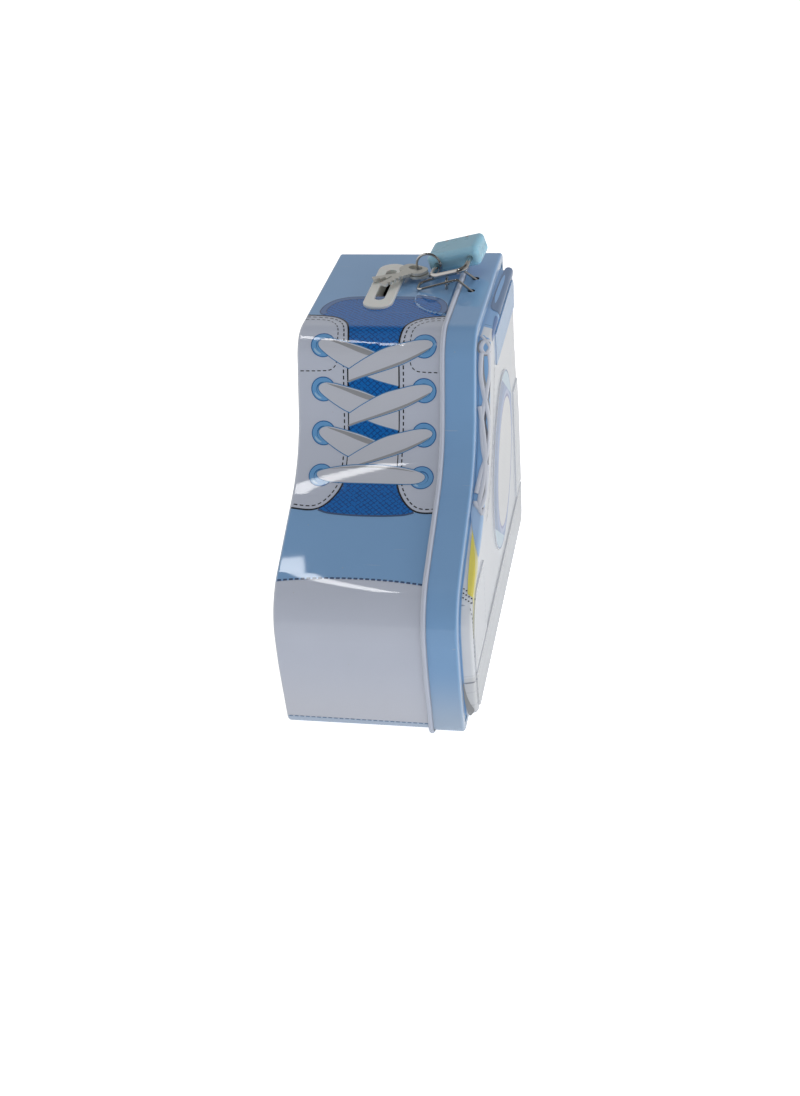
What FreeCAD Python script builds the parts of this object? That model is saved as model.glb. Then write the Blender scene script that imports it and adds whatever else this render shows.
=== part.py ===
"""Tin money box in the shape of a high-top sneaker, with a hinged lid, a wire hasp and a padlock.

Row frame, in millimetres: +X towards the lid, -Y towards the toe, +Z up. The origin is on the floor,
under the middle of the box. Lengths along the shoe are given from the toe, heights from the sole.
"""
import FreeCAD, Part
import math
import os
from FreeCAD import Matrix, Placement, Rotation, Vector

SIZES = {
    # Shoe outline: the outside of the body wall, seen from the lid side
    "shoe_length": 176.0,
    "sole_toe_inset": 4.0,
    "sole_toe_radius": 5.0,
    "toe_belly_height": 33.0,
    "toe_belly_radius": 100.0,
    "toe_crown_height": 62.3,
    "toe_crown_radius": 25.0,
    "throat_inset": 65.5,
    "throat_height": 93.9,
    "throat_radius": 45.0,
    "collar_front_inset": 81.9,
    "collar_front_radius": 13.0,
    "collar_height": 143.1,
    "collar_back_inset": 3.4,
    "collar_back_radius": 3.0,
    "heel_waist_inset": 5.5,
    "heel_waist_height": 108.0,
    "heel_waist_radius": 60.0,
    "heel_top_height": 66.0,
    "heel_low_height": 26.0,
    "heel_radius": 40.0,
    "sole_heel_inset": 3.5,
    "sole_heel_radius": 7.0,
    # Tinplate
    "gauge": 0.4,
    "bend_radius": 1.2,
    "flange_width": 3.4,
    "panel_fit": 0.1,
    "body_depth": 61.3,
    "neck_length": 3.4,
    "lid_depth": 13.7,
    "lid_gap": 0.3,
    "bead_diameter": 2.0,
    "bead_slit": 0.35,
    # Pressed relief
    "field_inset": 9.0,
    "field_rise": 0.35,
    "emboss_inset": 4.2,
    "emboss_draft": 1.6,
    "emboss_rise": 5.0,
    "emboss_corner": 5.0,
    "emboss_round": 2.0,
    "pad_rise": 0.6,
    "pad_margin": 2.2,
    "pad_seam": 1.8,
    "sole_band_height": 27.0,
    "toe_cap_length": 40.0,
    "toe_cap_height": 62.0,
    "heel_counter_start": 150.0,
    "heel_counter_height": 84.0,
    "collar_pad_start": 101.0,
    "collar_pad_height": 121.0,
    "badge_inset": 108.0,
    "badge_height": 72.0,
    "badge_length": 80.0,
    "badge_width": 60.0,
    "badge_lean": 54.0,
    "foot_radius": 4.0,
    "foot_flare": 2.5,
    "foot_inset": 10.0,
    "foot_spread": 104.0,
    "boss_radius": 19.5,
    "boss_rise": 0.7,
    "boss_inset": 120.5,
    "boss_edge_gap": 1.9,
    "boss_overhang": 1.7,
    # Hinge along the sole
    "hinge_wire_diameter": 1.1,
    "hinge_wire_length": 136.0,
    "hinge_clearance": 0.05,
    "tab_width": 10.0,
    "tab_length": 12.0,
    "tab_pitch": 53.0,
    "tab_side_gap": 0.5,
    "tab_swing_gap": 0.35,
    # Coin slot
    "slot_inset": 131.2,
    "slot_from_back": 28.7,
    "slot_length": 33.5,
    "slot_width": 4.6,
    "bezel_length": 48.7,
    "bezel_width": 13.0,
    "bezel_height": 1.3,
    "bezel_round": 0.6,
    "sleeve_wall": 1.3,
    "sleeve_depth": 5.0,
    "sleeve_fit": 0.15,
    "barb_depth": 1.2,
    "barb_reach": 0.5,
    # Wire hasp
    "hasp_inset": 133.2,
    "hasp_wire": 1.2,
    "hasp_from_bead": 5.7,
    "hasp_hole_radius": 1.7,
    "hasp_half_width": 6.8,
    "hasp_bow_half_width": 3.7,
    "hasp_bow_shift": -4.3,
    "hasp_hump_reach": 5.8,
    "hasp_hump_rise": 5.2,
    "hasp_bow_reach": 23.4,
    "hasp_bow_rise": 0.75,
    "hasp_tail": 2.1,
    "hasp_foot": 3.4,
    "hasp_bend": 1.5,
    "hasp_bow_bend": 2.2,
    # Staple on the body
    "staple_wire": 1.2,
    "staple_play": 0.7,
    "staple_under_shackle": 0.55,
    "staple_along": -0.4,
    "staple_tail": 2.2,
    "staple_bend": 0.65,
    "plate_length": 9.0,
    "plate_width": 4.6,
    "plate_shift": -0.8,
    "plate_thickness": 0.6,
    "plate_fit": 0.1,
    # Padlock: its own frame has the hole face in the middle of b = 0, c up, legs along b
    "lock_from_bead": -3.95,
    "lock_inset": 141.4,
    "lock_lift": 7.8,
    "lock_yaw": -7.2,
    "lock_roll": 15.2,
    "lock_pitch": 6.0,
    "case_width": 24.0,
    "case_length": 16.0,
    "case_thickness": 9.2,
    "case_round": 2.4,
    "shackle_rod": 2.4,
    "shackle_half_width": 7.8,
    "shackle_reach": 10.8,
    "shackle_bend": 3.4,
    "shackle_fit": 0.1,
    "short_leg_depth": 8.0,
    "long_leg_depth": 11.0,
    "long_bore_depth": 14.5,
    "notch_depth": 0.95,
    "notch_length": 2.4,
    "plug_radius": 2.8,
    "plug_fit": 0.05,
    "plug_recess": 0.2,
    "plug_front": 7.2,
    "plug_collar": 0.6,
    "plug_collar_length": 1.2,
    "keyway_width": 0.9,
    "keyway_height": 3.8,
    "keyway_depth": 6.0,
    "cam_pin_radius": 0.5,
    "cam_orbit": 1.2,
    "cam_pin_length": 2.2,
    "bolt_thickness": 1.8,
    "bolt_half_height": 0.9,
    "bolt_plate_height": 2.2,
    "bolt_plate_length": 4.3,
    "bolt_slot_play": 0.25,
    "bolt_tip_gap": 1.0,
    "bolt_fit": 0.15,
    "rivet_radius": 0.7,
    "rivet_spread": 9.8,
    "rivet_from_back": 2.6,
    "spring_wire": 0.4,
    "spring_radius": 0.85,
    "spring_coils": 4.0,
    "spring_end_gap": 0.25,
    # Key ring and keys
    "ring_radius": 5.4,
    "ring_wire": 1.1,
    "ring_gap": 0.3,
    "ring_lean": 150.0,
    "ring_before_case": 1.7,
    "key_thickness": 1.1,
    "key_bow_width": 13.0,
    "key_bow_length": 8.6,
    "key_bow_round": 3.4,
    "key_hole_length": 6.8,
    "key_hole_width": 4.0,
    "key_hole_inset": 2.95,
    "key_neck_width": 5.0,
    "key_neck_length": 2.6,
    "key_blade_width": 3.6,
    "key_blade_length": 13.4,
    "key_tooth_pitch": 2.6,
    "key_tooth_width": 1.5,
    "key_tooth_depth": 1.0,
    "key_tooth_count": 4.0,
    "lower_key_heading": 203.0,
    "lower_key_grip": 210.0,
    "lower_key_hang": 0.5,
    "upper_key_heading": 238.0,
    "upper_key_grip": 191.0,
    "upper_key_hang": 1.6,
}

doc = FreeCAD.newDocument("tin_money_box")
sheet = doc.addObject("Spreadsheet::Sheet", "sizes")
for row, (alias, value) in enumerate(SIZES.items(), start=1):
    sheet.set(f"A{row}", alias)
    sheet.set(f"B{row}", str(value))
    sheet.setAlias(f"B{row}", alias)
doc.recompute()


class SheetValues:
    """Reads the driving dimensions from the sheet by name."""

    def __getattr__(self, alias):
        return float(sheet.get(alias))


s = SheetValues()

# Places that follow from the driving dimensions
box_depth = s.body_depth + s.lid_depth
back_x = -(box_depth + s.emboss_rise + s.pad_rise) / 2
bead_x = back_x + s.body_depth
neck_x = bead_x + s.neck_length
face_x = back_x + box_depth
toe_y = -s.shoe_length / 2
bead_radius = s.bead_diameter / 2
bead_offset = s.lid_gap + bead_radius
lid_offset = s.lid_gap + s.gauge
sole_z = s.lid_gap + s.bead_diameter
top_z = sole_z + s.collar_height

# The same places as expressions, for objects that are bound to the sheet
BACK_X = "(-(sizes.body_depth + sizes.lid_depth + sizes.emboss_rise + sizes.pad_rise) / 2)"
BEAD_X = f"({BACK_X} + sizes.body_depth)"
TOE_Y = "(-sizes.shoe_length / 2)"
SOLE_Z = "(sizes.lid_gap + sizes.bead_diameter)"
TOP_Z = f"({SOLE_Z} + sizes.collar_height)"

nodes = []


def node(obj, label):
    """Names a finished sub-part and lists it for writing."""
    obj.Label = label
    nodes.append(obj)
    return obj


def shape_node(shape, label, placement=None):
    """Adds a sub-part whose shape is made with Part's functions."""
    obj = doc.addObject("Part::Feature", label)
    obj.Shape = shape.removeSplitter()
    if placement is not None:
        obj.Placement = placement
    return node(obj, label)


# Bound primitives and booleans


def bind(obj, **expressions):
    """Binds properties to expressions; a double underscore in a name stands for a dot."""
    for name, expression in expressions.items():
        obj.setExpression(name.replace("__", "."), expression)
    return obj


def place(obj, at):
    """Binds the three coordinates of an object's place."""
    for axis, expression in zip("xyz", at):
        obj.setExpression(f"Placement.Base.{axis}", expression)
    return obj


def block(name, size, at):
    """A box bound to the sheet, from its lowest corner."""
    obj = doc.addObject("Part::Box", name)
    bind(obj, Length=size[0], Width=size[1], Height=size[2])
    return place(obj, at)


def round_bar(name, radius, length, at, direction):
    """A cylinder bound to the sheet, from its start along a direction."""
    obj = doc.addObject("Part::Cylinder", name)
    obj.Placement = Placement(Vector(), Rotation(Vector(0, 0, 1), direction))
    bind(obj, Radius=radius, Height=length)
    return place(obj, at)


def fuse(name, *parts):
    """A union of bound objects."""
    obj = doc.addObject("Part::MultiFuse", name)
    obj.Shapes = list(parts)
    obj.Refine = True
    return obj


def cut(name, base, *tools):
    """A bound object less the others."""
    obj = doc.addObject("Part::Cut", name)
    obj.Base = base
    obj.Tool = tools[0] if len(tools) == 1 else fuse(name + "_tools", *tools)
    obj.Refine = True
    return obj


def common(name, first, second):
    """What two bound objects share."""
    obj = doc.addObject("Part::Common", name)
    obj.Base = first
    obj.Tool = second
    obj.Refine = True
    return obj


def rounded(name, base, radius, pick):
    """A bound object with the picked edges rounded."""
    doc.recompute()
    obj = doc.addObject("Part::Fillet", name)
    obj.Base = base
    obj.Edges = [(i, radius, radius) for i, edge in enumerate(base.Shape.Edges, start=1) if pick(edge)]
    return obj


# Shoe outline


def outline_corners():
    """The outline's corners before rounding, from the sole under the toe, clockwise seen from +X."""
    toe = 0.0
    heel = s.shoe_length
    return [
        (s.sole_toe_inset, 0.0, s.sole_toe_radius),
        (toe, s.toe_belly_height, s.toe_belly_radius),
        (toe, s.toe_crown_height, s.toe_crown_radius),
        (s.throat_inset, s.throat_height, s.throat_radius),
        (s.collar_front_inset, s.collar_height, s.collar_front_radius),
        (heel - s.collar_back_inset, s.collar_height, s.collar_back_radius),
        (heel - s.heel_waist_inset, s.heel_waist_height, s.heel_waist_radius),
        (heel, s.heel_top_height, s.heel_radius),
        (heel, s.heel_low_height, s.heel_radius),
        (heel - s.sole_heel_inset, 0.0, s.sole_heel_radius),
    ]


def unit(a, b):
    """The unit vector from one outline point to another."""
    length = math.hypot(b[0] - a[0], b[1] - a[1])
    return ((b[0] - a[0]) / length, (b[1] - a[1]) / length)


def moved_corner(before, at, after, offset):
    """Where a corner goes when both of its sides move outwards by the offset."""
    d1 = unit(before, at)
    d2 = unit(at, after)
    n1 = (-d1[1], d1[0])
    n2 = (-d2[1], d2[0])
    scale = offset / (1 + n1[0] * n2[0] + n1[1] * n2[1])
    return (at[0] + scale * (n1[0] + n2[0]), at[1] + scale * (n1[1] + n2[1]))


def outline_wire(offset, x, least_radius=0.5):
    """The rounded outline at x, moved outwards by the offset."""
    corners = outline_corners()
    count = len(corners)
    points = [moved_corner(corners[i - 1], corners[i], corners[(i + 1) % count], offset) for i in range(count)]
    arcs = []
    for i, at in enumerate(points):
        d1 = unit(points[i - 1], at)
        d2 = unit(at, points[(i + 1) % count])
        turn = d1[0] * d2[1] - d1[1] * d2[0]
        grown = offset if turn < 0 else -offset
        radius = max(corners[i][2] + grown, least_radius)
        half = math.atan2(abs(turn), d1[0] * d2[0] + d1[1] * d2[1]) / 2
        run = radius * math.tan(half)
        inward = unit((0, 0), (d2[0] - d1[0], d2[1] - d1[1]))
        middle = radius / math.cos(half) - radius
        start = (at[0] - run * d1[0], at[1] - run * d1[1])
        mid = (at[0] + middle * inward[0], at[1] + middle * inward[1])
        end = (at[0] + run * d2[0], at[1] + run * d2[1])
        arcs.append([Vector(x, toe_y + y, sole_z + z) for y, z in (start, mid, end)])
    edges = []
    for i, arc in enumerate(arcs):
        edges.append(Part.LineSegment(arcs[i - 1][2], arc[0]).toShape())
        edges.append(Part.Arc(*arc).toShape())
    return Part.Wire(edges)


def slab(offset, x0, x1, least_radius=0.5):
    """A solid of the outline between two planes."""
    return Part.Face(outline_wire(offset, x0, least_radius)).extrude(Vector(x1 - x0, 0, 0))


def round_rim(shape, x, radius):
    """Rounds the whole edge of a slab at one plane."""
    rim = [edge for edge in shape.Edges if abs(edge.BoundBox.XMin - x) + abs(edge.BoundBox.XMax - x) < 1e-6]
    return shape.makeFillet(radius, rim)


# Wire and rod


def rounded_path(points, radii):
    """Straight runs joined by tangent arcs; one radius for each inner point."""
    edges = []
    last = points[0]
    for before, at, after, radius in zip(points, points[1:], points[2:], radii):
        d1 = (at - before).normalize()
        d2 = (after - at).normalize()
        half = d1.getAngle(d2) / 2
        run = radius * math.tan(half)
        start = at - d1 * run
        end = at + d2 * run
        inward = (d2 - d1).normalize()
        mid = at + inward * (radius / math.cos(half) - radius)
        edges.append(Part.LineSegment(last, start).toShape())
        edges.append(Part.Arc(start, mid, end).toShape())
        last = end
    edges.append(Part.LineSegment(last, points[-1]).toShape())
    return Part.Wire(edges)


def rod(path, diameter):
    """A round rod along a path."""
    first = path.OrderedEdges[0]
    start = first.valueAt(first.FirstParameter)
    section = Part.Wire(Part.makeCircle(diameter / 2, start, first.tangentAt(first.FirstParameter)))
    return path.makePipeShell([section], True, False)


def cylinder(radius, length, start, direction):
    """A plain cylinder shape."""
    return Part.makeCylinder(radius, length, start, direction)


def brick(x0, x1, y0, y1, z0, z1):
    """A plain box shape between two corners."""
    return Part.makeBox(x1 - x0, y1 - y0, z1 - z0, Vector(x0, y0, z0))


UP = Vector(0, 0, 1)
ALONG_Y = Vector(0, 1, 0)
FAR = 400.0

# Padlock frame and what hangs on it
lock_turn = Rotation(Vector(0, 0, 1), s.lock_yaw)
lock_turn = lock_turn.multiply(Rotation(Vector(0, 1, 0), -s.lock_roll))
lock_turn = lock_turn.multiply(Rotation(Vector(1, 0, 0), s.lock_pitch))
lock_frame = Placement(Vector(bead_x + s.lock_from_bead, toe_y + s.lock_inset, top_z + s.lock_lift), lock_turn)


def in_lock(a, b, c):
    """A point of the padlock's own frame, in the row frame."""
    return lock_frame.multVec(Vector(a, b, c))


# Body wall: a strip bent round the outline, its back edge turned in
wall_outer = round_rim(slab(0, back_x, neck_x), back_x, s.bend_radius)
wall_inner = round_rim(slab(-s.gauge, back_x + s.gauge, neck_x + 1), back_x + s.gauge, s.bend_radius - s.gauge)
wall_window = slab(-s.flange_width, back_x - 1, back_x + s.gauge + 1)
body_wall = wall_outer.cut(wall_inner).cut(wall_window)

foot_x = back_x + s.foot_inset
for side in (-1, 1):
    foot_y = side * s.foot_spread / 2
    foot = Part.makeCone(s.foot_radius, s.foot_radius + s.foot_flare, sole_z, Vector(foot_x, foot_y, 0), UP)
    hollow = Part.makeCone(
        s.foot_radius - s.gauge, s.foot_radius + s.foot_flare, sole_z, Vector(foot_x, foot_y, s.gauge), UP
    )
    body_wall = body_wall.fuse(foot).cut(hollow)

boss_centre = Vector(bead_x + s.boss_overhang, toe_y + s.boss_inset, top_z - s.gauge)
boss_edge = bead_x - s.boss_edge_gap
boss = cylinder(s.boss_radius, s.gauge + s.boss_rise, boss_centre, UP)
boss = boss.common(brick(-FAR, boss_edge, -FAR, FAR, -FAR, FAR))
boss = boss.makeFillet(
    s.boss_rise * 0.8,
    [e for e in boss.Edges if abs(e.BoundBox.ZMin - top_z - s.boss_rise) < 1e-6 and e.BoundBox.ZLength < 1e-6],
)
boss_hollow = cylinder(s.boss_radius - s.gauge, 2 * s.boss_rise, boss_centre - UP * s.boss_rise, UP)
boss_hollow = boss_hollow.common(brick(-FAR, boss_edge - s.gauge, -FAR, FAR, -FAR, FAR))
body_wall = body_wall.fuse(boss).cut(boss_hollow)

staple_at = in_lock(s.staple_along, -s.shackle_reach, 0)
staple_half = s.shackle_rod / 2 + s.staple_play + s.staple_wire / 2
staple_hole = s.staple_wire / 2 + s.plate_fit
ceiling_z = top_z - s.gauge + s.boss_rise
plate_z = ceiling_z - s.plate_thickness
staple_legs = [Vector(staple_at.x, staple_at.y + side * staple_half, top_z - 5) for side in (-1, 1)]
for leg in staple_legs:
    body_wall = body_wall.cut(cylinder(staple_hole, 10, leg, UP))

slot_x = back_x + s.slot_from_back
slot_y = toe_y + s.slot_inset


def obround(length, width, x, y, z, height):
    """A slab with round ends, long along Y."""
    half = (length - width) / 2
    body = brick(x - width / 2, x + width / 2, y - half, y + half, z, z + height)
    for side in (-1, 1):
        body = body.fuse(cylinder(width / 2, height, Vector(x, y + side * half, z), UP))
    return body.removeSplitter()


sleeve_length = s.slot_length + 2 * s.sleeve_wall
sleeve_width = s.slot_width + 2 * s.sleeve_wall
body_wall = body_wall.cut(
    obround(sleeve_length + 2 * s.sleeve_fit, sleeve_width + 2 * s.sleeve_fit, slot_x, slot_y, top_z - 3, 6)
)
shape_node(body_wall, "body_wall")

# Back panel: seated on the inside of the turned-in edge, with a pressed field
panel_inset = s.bend_radius + s.panel_fit
field_x = back_x + s.gauge - s.field_rise
back_panel = slab(-panel_inset, back_x + s.gauge, back_x + 2 * s.gauge)
back_panel = back_panel.fuse(slab(-s.field_inset, field_x, back_x + s.gauge, s.emboss_corner))
back_panel = back_panel.cut(
    slab(-s.field_inset - s.gauge, field_x + s.gauge, back_x + 2 * s.gauge + 1, s.emboss_corner - s.gauge)
)
shape_node(back_panel, "back_panel")

# Lid skirt: a strip over the body's neck, with a curled edge and a turned-in border
lid_outer = round_rim(slab(lid_offset, bead_x, face_x), face_x, s.bend_radius)
lid_inner = round_rim(slab(s.lid_gap, bead_x - 1, face_x - s.gauge), face_x - s.gauge, s.bend_radius - s.gauge)
lid_window = slab(lid_offset - s.flange_width - s.gauge, face_x - s.gauge - 1, face_x + 1)
curl_path = outline_wire(bead_offset, bead_x)
curl = rod(curl_path, s.bead_diameter)
curl_bore = rod(curl_path, s.bead_diameter - 2 * s.gauge)
slit = slab(lid_offset + s.bead_slit, bead_x + bead_radius / 2, bead_x + bead_radius + s.gauge)
slit = slit.cut(slab(lid_offset, bead_x, bead_x + bead_radius + 1))
lid_skirt = lid_outer.cut(lid_inner).cut(lid_window).fuse(curl).cut(curl_bore).cut(slit)

pivot_x = bead_x + s.hasp_from_bead
pivot_z = top_z + s.lid_gap + s.gauge / 2
hasp_y = toe_y + s.hasp_inset
for side in (-1, 1):
    hole_at = Vector(pivot_x, hasp_y + side * s.hasp_half_width, pivot_z - 3)
    lid_skirt = lid_skirt.cut(cylinder(s.hasp_hole_radius, 6, hole_at, UP))

tab_places = [-s.tab_pitch, 0.0, s.tab_pitch]
notch_x = bead_x + bead_radius + s.tab_swing_gap
for tab_y in tab_places:
    half = s.tab_width / 2 + s.tab_side_gap
    lid_skirt = lid_skirt.cut(brick(bead_x - 3, notch_x, tab_y - half, tab_y + half, -1, sole_z - s.lid_gap / 2))
shape_node(lid_skirt, "lid_skirt")

# Lid face: a pressed panel that shows the side of the shoe in relief
border_x = face_x - s.gauge
panel_x = border_x - s.gauge
raised_x = face_x + s.emboss_rise
lid_panel_inset = s.bend_radius + s.panel_fit - lid_offset


def pressing(inset, x0, x1, corner):
    """A drafted block whose top is smaller than its base."""
    wires = [
        outline_wire(-inset, x0, corner),
        outline_wire(-inset - s.emboss_draft, x1, corner),
    ]
    return Part.makeLoft(wires, True, True)


raised = round_rim(pressing(s.emboss_inset, panel_x, raised_x, s.emboss_corner), raised_x, s.emboss_round)
hollow = pressing(s.emboss_inset + s.gauge, panel_x - s.gauge, raised_x - s.gauge, s.emboss_corner - s.gauge)
lid_face = slab(-lid_panel_inset, panel_x, border_x).fuse(raised).cut(hollow)

pad_edge = s.emboss_inset + s.emboss_draft + s.pad_margin
seam_z = s.sole_band_height + s.pad_seam
PAD_REGIONS = [
    (0.0, s.shoe_length, 0.0, s.sole_band_height),
    (0.0, s.toe_cap_length, seam_z, s.toe_cap_height),
    (s.heel_counter_start, s.shoe_length, seam_z, s.heel_counter_height),
    (s.collar_pad_start, s.shoe_length, s.collar_pad_height, s.collar_height),
]


def pad(region, shrink, x0, x1):
    """A low raised area of the lid's face: the part of the inset outline that lies in a region."""
    y0, y1, z0, z1 = region
    area = brick(
        x0, x1, toe_y + y0 + shrink, toe_y + y1 - shrink, sole_z + z0 + shrink, sole_z + z1 - shrink
    )
    return slab(-pad_edge - shrink, x0, x1, s.emboss_corner).common(area)


def badge(shrink, x0, x1):
    """A low raised oval on the ankle, that leans with the lacing."""
    centre = Vector(x0, toe_y + s.badge_inset, sole_z + s.badge_height)
    lean = math.radians(s.badge_lean)
    long_way = ALONG_Y * math.cos(lean) + UP * math.sin(lean)
    cross_way = UP * math.cos(lean) - ALONG_Y * math.sin(lean)
    oval = Part.Ellipse(
        centre + long_way * (s.badge_length / 2 - shrink), centre + cross_way * (s.badge_width / 2 - shrink), centre
    )
    return Part.Face(Part.Wire(oval.toShape())).extrude(Vector(x1 - x0, 0, 0))


pad_x = raised_x + s.pad_rise
below_x = raised_x - s.gauge
for region in PAD_REGIONS:
    lid_face = lid_face.fuse(pad(region, 0, below_x, pad_x))
    lid_face = lid_face.cut(pad(region, s.gauge, below_x - 1, pad_x - s.gauge))
lid_face = lid_face.fuse(badge(0, below_x, pad_x)).cut(badge(s.gauge, below_x - 1, pad_x - s.gauge))
shape_node(lid_face, "lid_face")

# Hinge: a wire in the lid's curl, held by three straps on the sole
hinge_wire = round_bar(
    "hinge_wire_bar",
    "sizes.hinge_wire_diameter / 2",
    "sizes.hinge_wire_length",
    (BEAD_X, "-sizes.hinge_wire_length / 2", "sizes.bead_diameter / 2"),
    ALONG_Y,
)
node(hinge_wire, "hinge_wire")

knuckle_radius = s.hinge_wire_diameter / 2 + s.hinge_clearance
for name, tab_y in zip(("toe", "middle", "heel"), tab_places):
    y0 = tab_y - s.tab_width / 2
    y1 = tab_y + s.tab_width / 2
    knuckle_start = Vector(bead_x, y0, bead_radius)
    strap = brick(bead_x - s.tab_length, bead_x, y0, y1, sole_z - s.gauge, sole_z)
    web = brick(bead_x - bead_radius, bead_x, y0, y1, sole_z - lid_offset, sole_z)
    tab = strap.fuse(web).fuse(cylinder(bead_radius, s.tab_width, knuckle_start, ALONG_Y))
    tab = tab.cut(cylinder(knuckle_radius, s.tab_width, knuckle_start, ALONG_Y))
    shape_node(tab, f"hinge_tab_{name}")

# Coin slot bezel: a flange on the top, a sleeve through it and a barb under it
bezel = obround(s.bezel_length, s.bezel_width, slot_x, slot_y, top_z, s.bezel_height)
bezel = bezel.makeFillet(s.bezel_round, [e for e in bezel.Edges if e.BoundBox.ZMin > top_z + s.bezel_height - 1e-6])
bezel = bezel.fuse(obround(sleeve_length, sleeve_width, slot_x, slot_y, top_z - s.sleeve_depth, s.sleeve_depth))
barb_top = top_z - s.gauge - s.sleeve_fit
bezel = bezel.fuse(
    obround(
        sleeve_length + 2 * s.barb_reach,
        sleeve_width + 2 * s.barb_reach,
        slot_x,
        slot_y,
        barb_top - s.barb_depth,
        s.barb_depth,
    )
)
bezel = bezel.cut(obround(s.slot_length, s.slot_width, slot_x, slot_y, top_z - s.sleeve_depth - 1, 20))
shape_node(bezel, "coin_slot_bezel")

# Staple: a wire loop through the body's top, clinched under a plate
loop_top = staple_at.z - s.shackle_rod / 2 - s.staple_under_shackle - s.staple_wire / 2
clinch_z = plate_z - s.plate_fit - s.staple_wire / 2
clinch_y = staple_half + s.staple_tail
staple_points = [
    Vector(staple_at.x, staple_at.y - clinch_y, clinch_z),
    Vector(staple_at.x, staple_at.y - staple_half, clinch_z),
    Vector(staple_at.x, staple_at.y - staple_half, loop_top),
    Vector(staple_at.x, staple_at.y + staple_half, loop_top),
    Vector(staple_at.x, staple_at.y + staple_half, clinch_z),
    Vector(staple_at.x, staple_at.y + clinch_y, clinch_z),
]
loop_bend = staple_half * 0.95
staple_radii = [s.staple_bend, loop_bend, loop_bend, s.staple_bend]
shape_node(rod(rounded_path(staple_points, staple_radii), s.staple_wire), "hasp_staple")

plate = Part.makeBox(
    s.plate_width,
    s.plate_length,
    s.plate_thickness,
    Vector(
        staple_at.x + s.plate_shift - s.plate_width / 2,
        staple_at.y - s.plate_length / 2,
        plate_z,
    ),
)
for leg in staple_legs:
    plate = plate.cut(cylinder(staple_hole, 10, leg, UP))
shape_node(plate, "staple_plate")

# Hasp bail: one wire, hooked in two holes of the lid, over the bead and round the staple
rise = math.atan2(s.hasp_hump_rise, s.hasp_hump_reach)
tail_x = s.hasp_tail * math.cos(rise)
tail_z = -s.hasp_tail * math.sin(rise)


def bail_side(side):
    """The bail's points on one side, from its foot under the lid to its bow."""
    wide = side * s.hasp_half_width
    narrow = side * s.hasp_bow_half_width + s.hasp_bow_shift
    hump_share = s.hasp_hump_reach / s.hasp_bow_reach
    hump_wide = wide + (narrow - wide) * hump_share
    local = [
        (tail_x, wide + side * s.hasp_foot, tail_z),
        (tail_x, wide, tail_z),
        (-s.hasp_hump_reach, hump_wide, s.hasp_hump_rise),
        (-s.hasp_bow_reach, narrow, s.hasp_bow_rise),
    ]
    return [Vector(pivot_x + x, hasp_y + y, pivot_z + z) for x, y, z in local]


bail_points = bail_side(-1) + bail_side(1)[::-1]
bail_bends = [s.hasp_wire, s.hasp_bend, s.hasp_bow_bend]
shape_node(rod(rounded_path(bail_points, bail_bends + bail_bends[::-1]), s.hasp_wire), "hasp_bail")

# Padlock shackle, in the padlock's own frame
half_width = s.shackle_half_width
shackle_points = [
    Vector(half_width, s.long_leg_depth, 0),
    Vector(half_width, -s.shackle_reach, 0),
    Vector(-half_width, -s.shackle_reach, 0),
    Vector(-half_width, s.short_leg_depth, 0),
]
bolt_mid = s.plug_front - s.cam_pin_length / 2
shackle = rod(rounded_path(shackle_points, [s.shackle_bend, s.shackle_bend]), s.shackle_rod)
inner_side = -half_width + s.shackle_rod / 2
shackle = shackle.cut(
    brick(
        inner_side - s.notch_depth,
        inner_side + 1,
        bolt_mid - s.notch_length / 2,
        bolt_mid + s.notch_length / 2,
        -s.shackle_rod,
        s.shackle_rod,
    )
)
shape_node(shackle, "padlock_shackle", lock_frame)

# Padlock case: two moulded halves round the lock
case = rounded(
    "case_rounded",
    block(
        "case_block",
        ("sizes.case_width", "sizes.case_length", "sizes.case_thickness"),
        ("-sizes.case_width / 2", "0", "-sizes.case_thickness / 2"),
    ),
    s.case_round,
    lambda edge: True,
)
BORE = "sizes.shackle_rod / 2 + sizes.shackle_fit"
CHANNEL_LOW = "sizes.plug_front - sizes.cam_pin_length / 2 - sizes.bolt_thickness / 2 - sizes.bolt_fit"
TIP = "(-sizes.shackle_half_width + sizes.shackle_rod / 2 + sizes.bolt_tip_gap)"
PLATE_END = "(sizes.cam_orbit * cos(45) + sizes.bolt_plate_length / 2)"
THROW = "(2 * sizes.cam_orbit * cos(45))"
short_bore = round_bar(
    "short_bore", BORE, "sizes.short_leg_depth + 1.5", ("-sizes.shackle_half_width", "-1", "0"), ALONG_Y
)
long_bore = round_bar("long_bore", BORE, "sizes.long_bore_depth + 1", ("sizes.shackle_half_width", "-1", "0"), ALONG_Y)
plug_bore = round_bar(
    "plug_bore",
    "sizes.plug_radius + sizes.plug_fit",
    "sizes.case_length",
    ("0", "sizes.plug_front - sizes.plug_fit", "0"),
    ALONG_Y,
)
collar_bore = round_bar(
    "collar_bore",
    "sizes.plug_radius + sizes.plug_collar + sizes.plug_fit",
    "sizes.plug_collar_length + 2 * sizes.plug_fit",
    ("0", "sizes.plug_front - sizes.plug_fit", "0"),
    ALONG_Y,
)
cam_room = round_bar(
    "cam_room",
    "sizes.cam_orbit + sizes.cam_pin_radius + sizes.bolt_fit",
    "sizes.cam_pin_length + 2 * sizes.bolt_fit",
    ("0", "sizes.plug_front - sizes.cam_pin_length - 2 * sizes.bolt_fit", "0"),
    ALONG_Y,
)
nose_channel = block(
    "nose_channel",
    (
        "sizes.shackle_half_width",
        "sizes.bolt_thickness + 2 * sizes.bolt_fit",
        "2 * sizes.bolt_half_height + 2 * sizes.bolt_fit",
    ),
    ("-sizes.shackle_half_width", CHANNEL_LOW, "-sizes.bolt_half_height - sizes.bolt_fit"),
)
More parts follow.
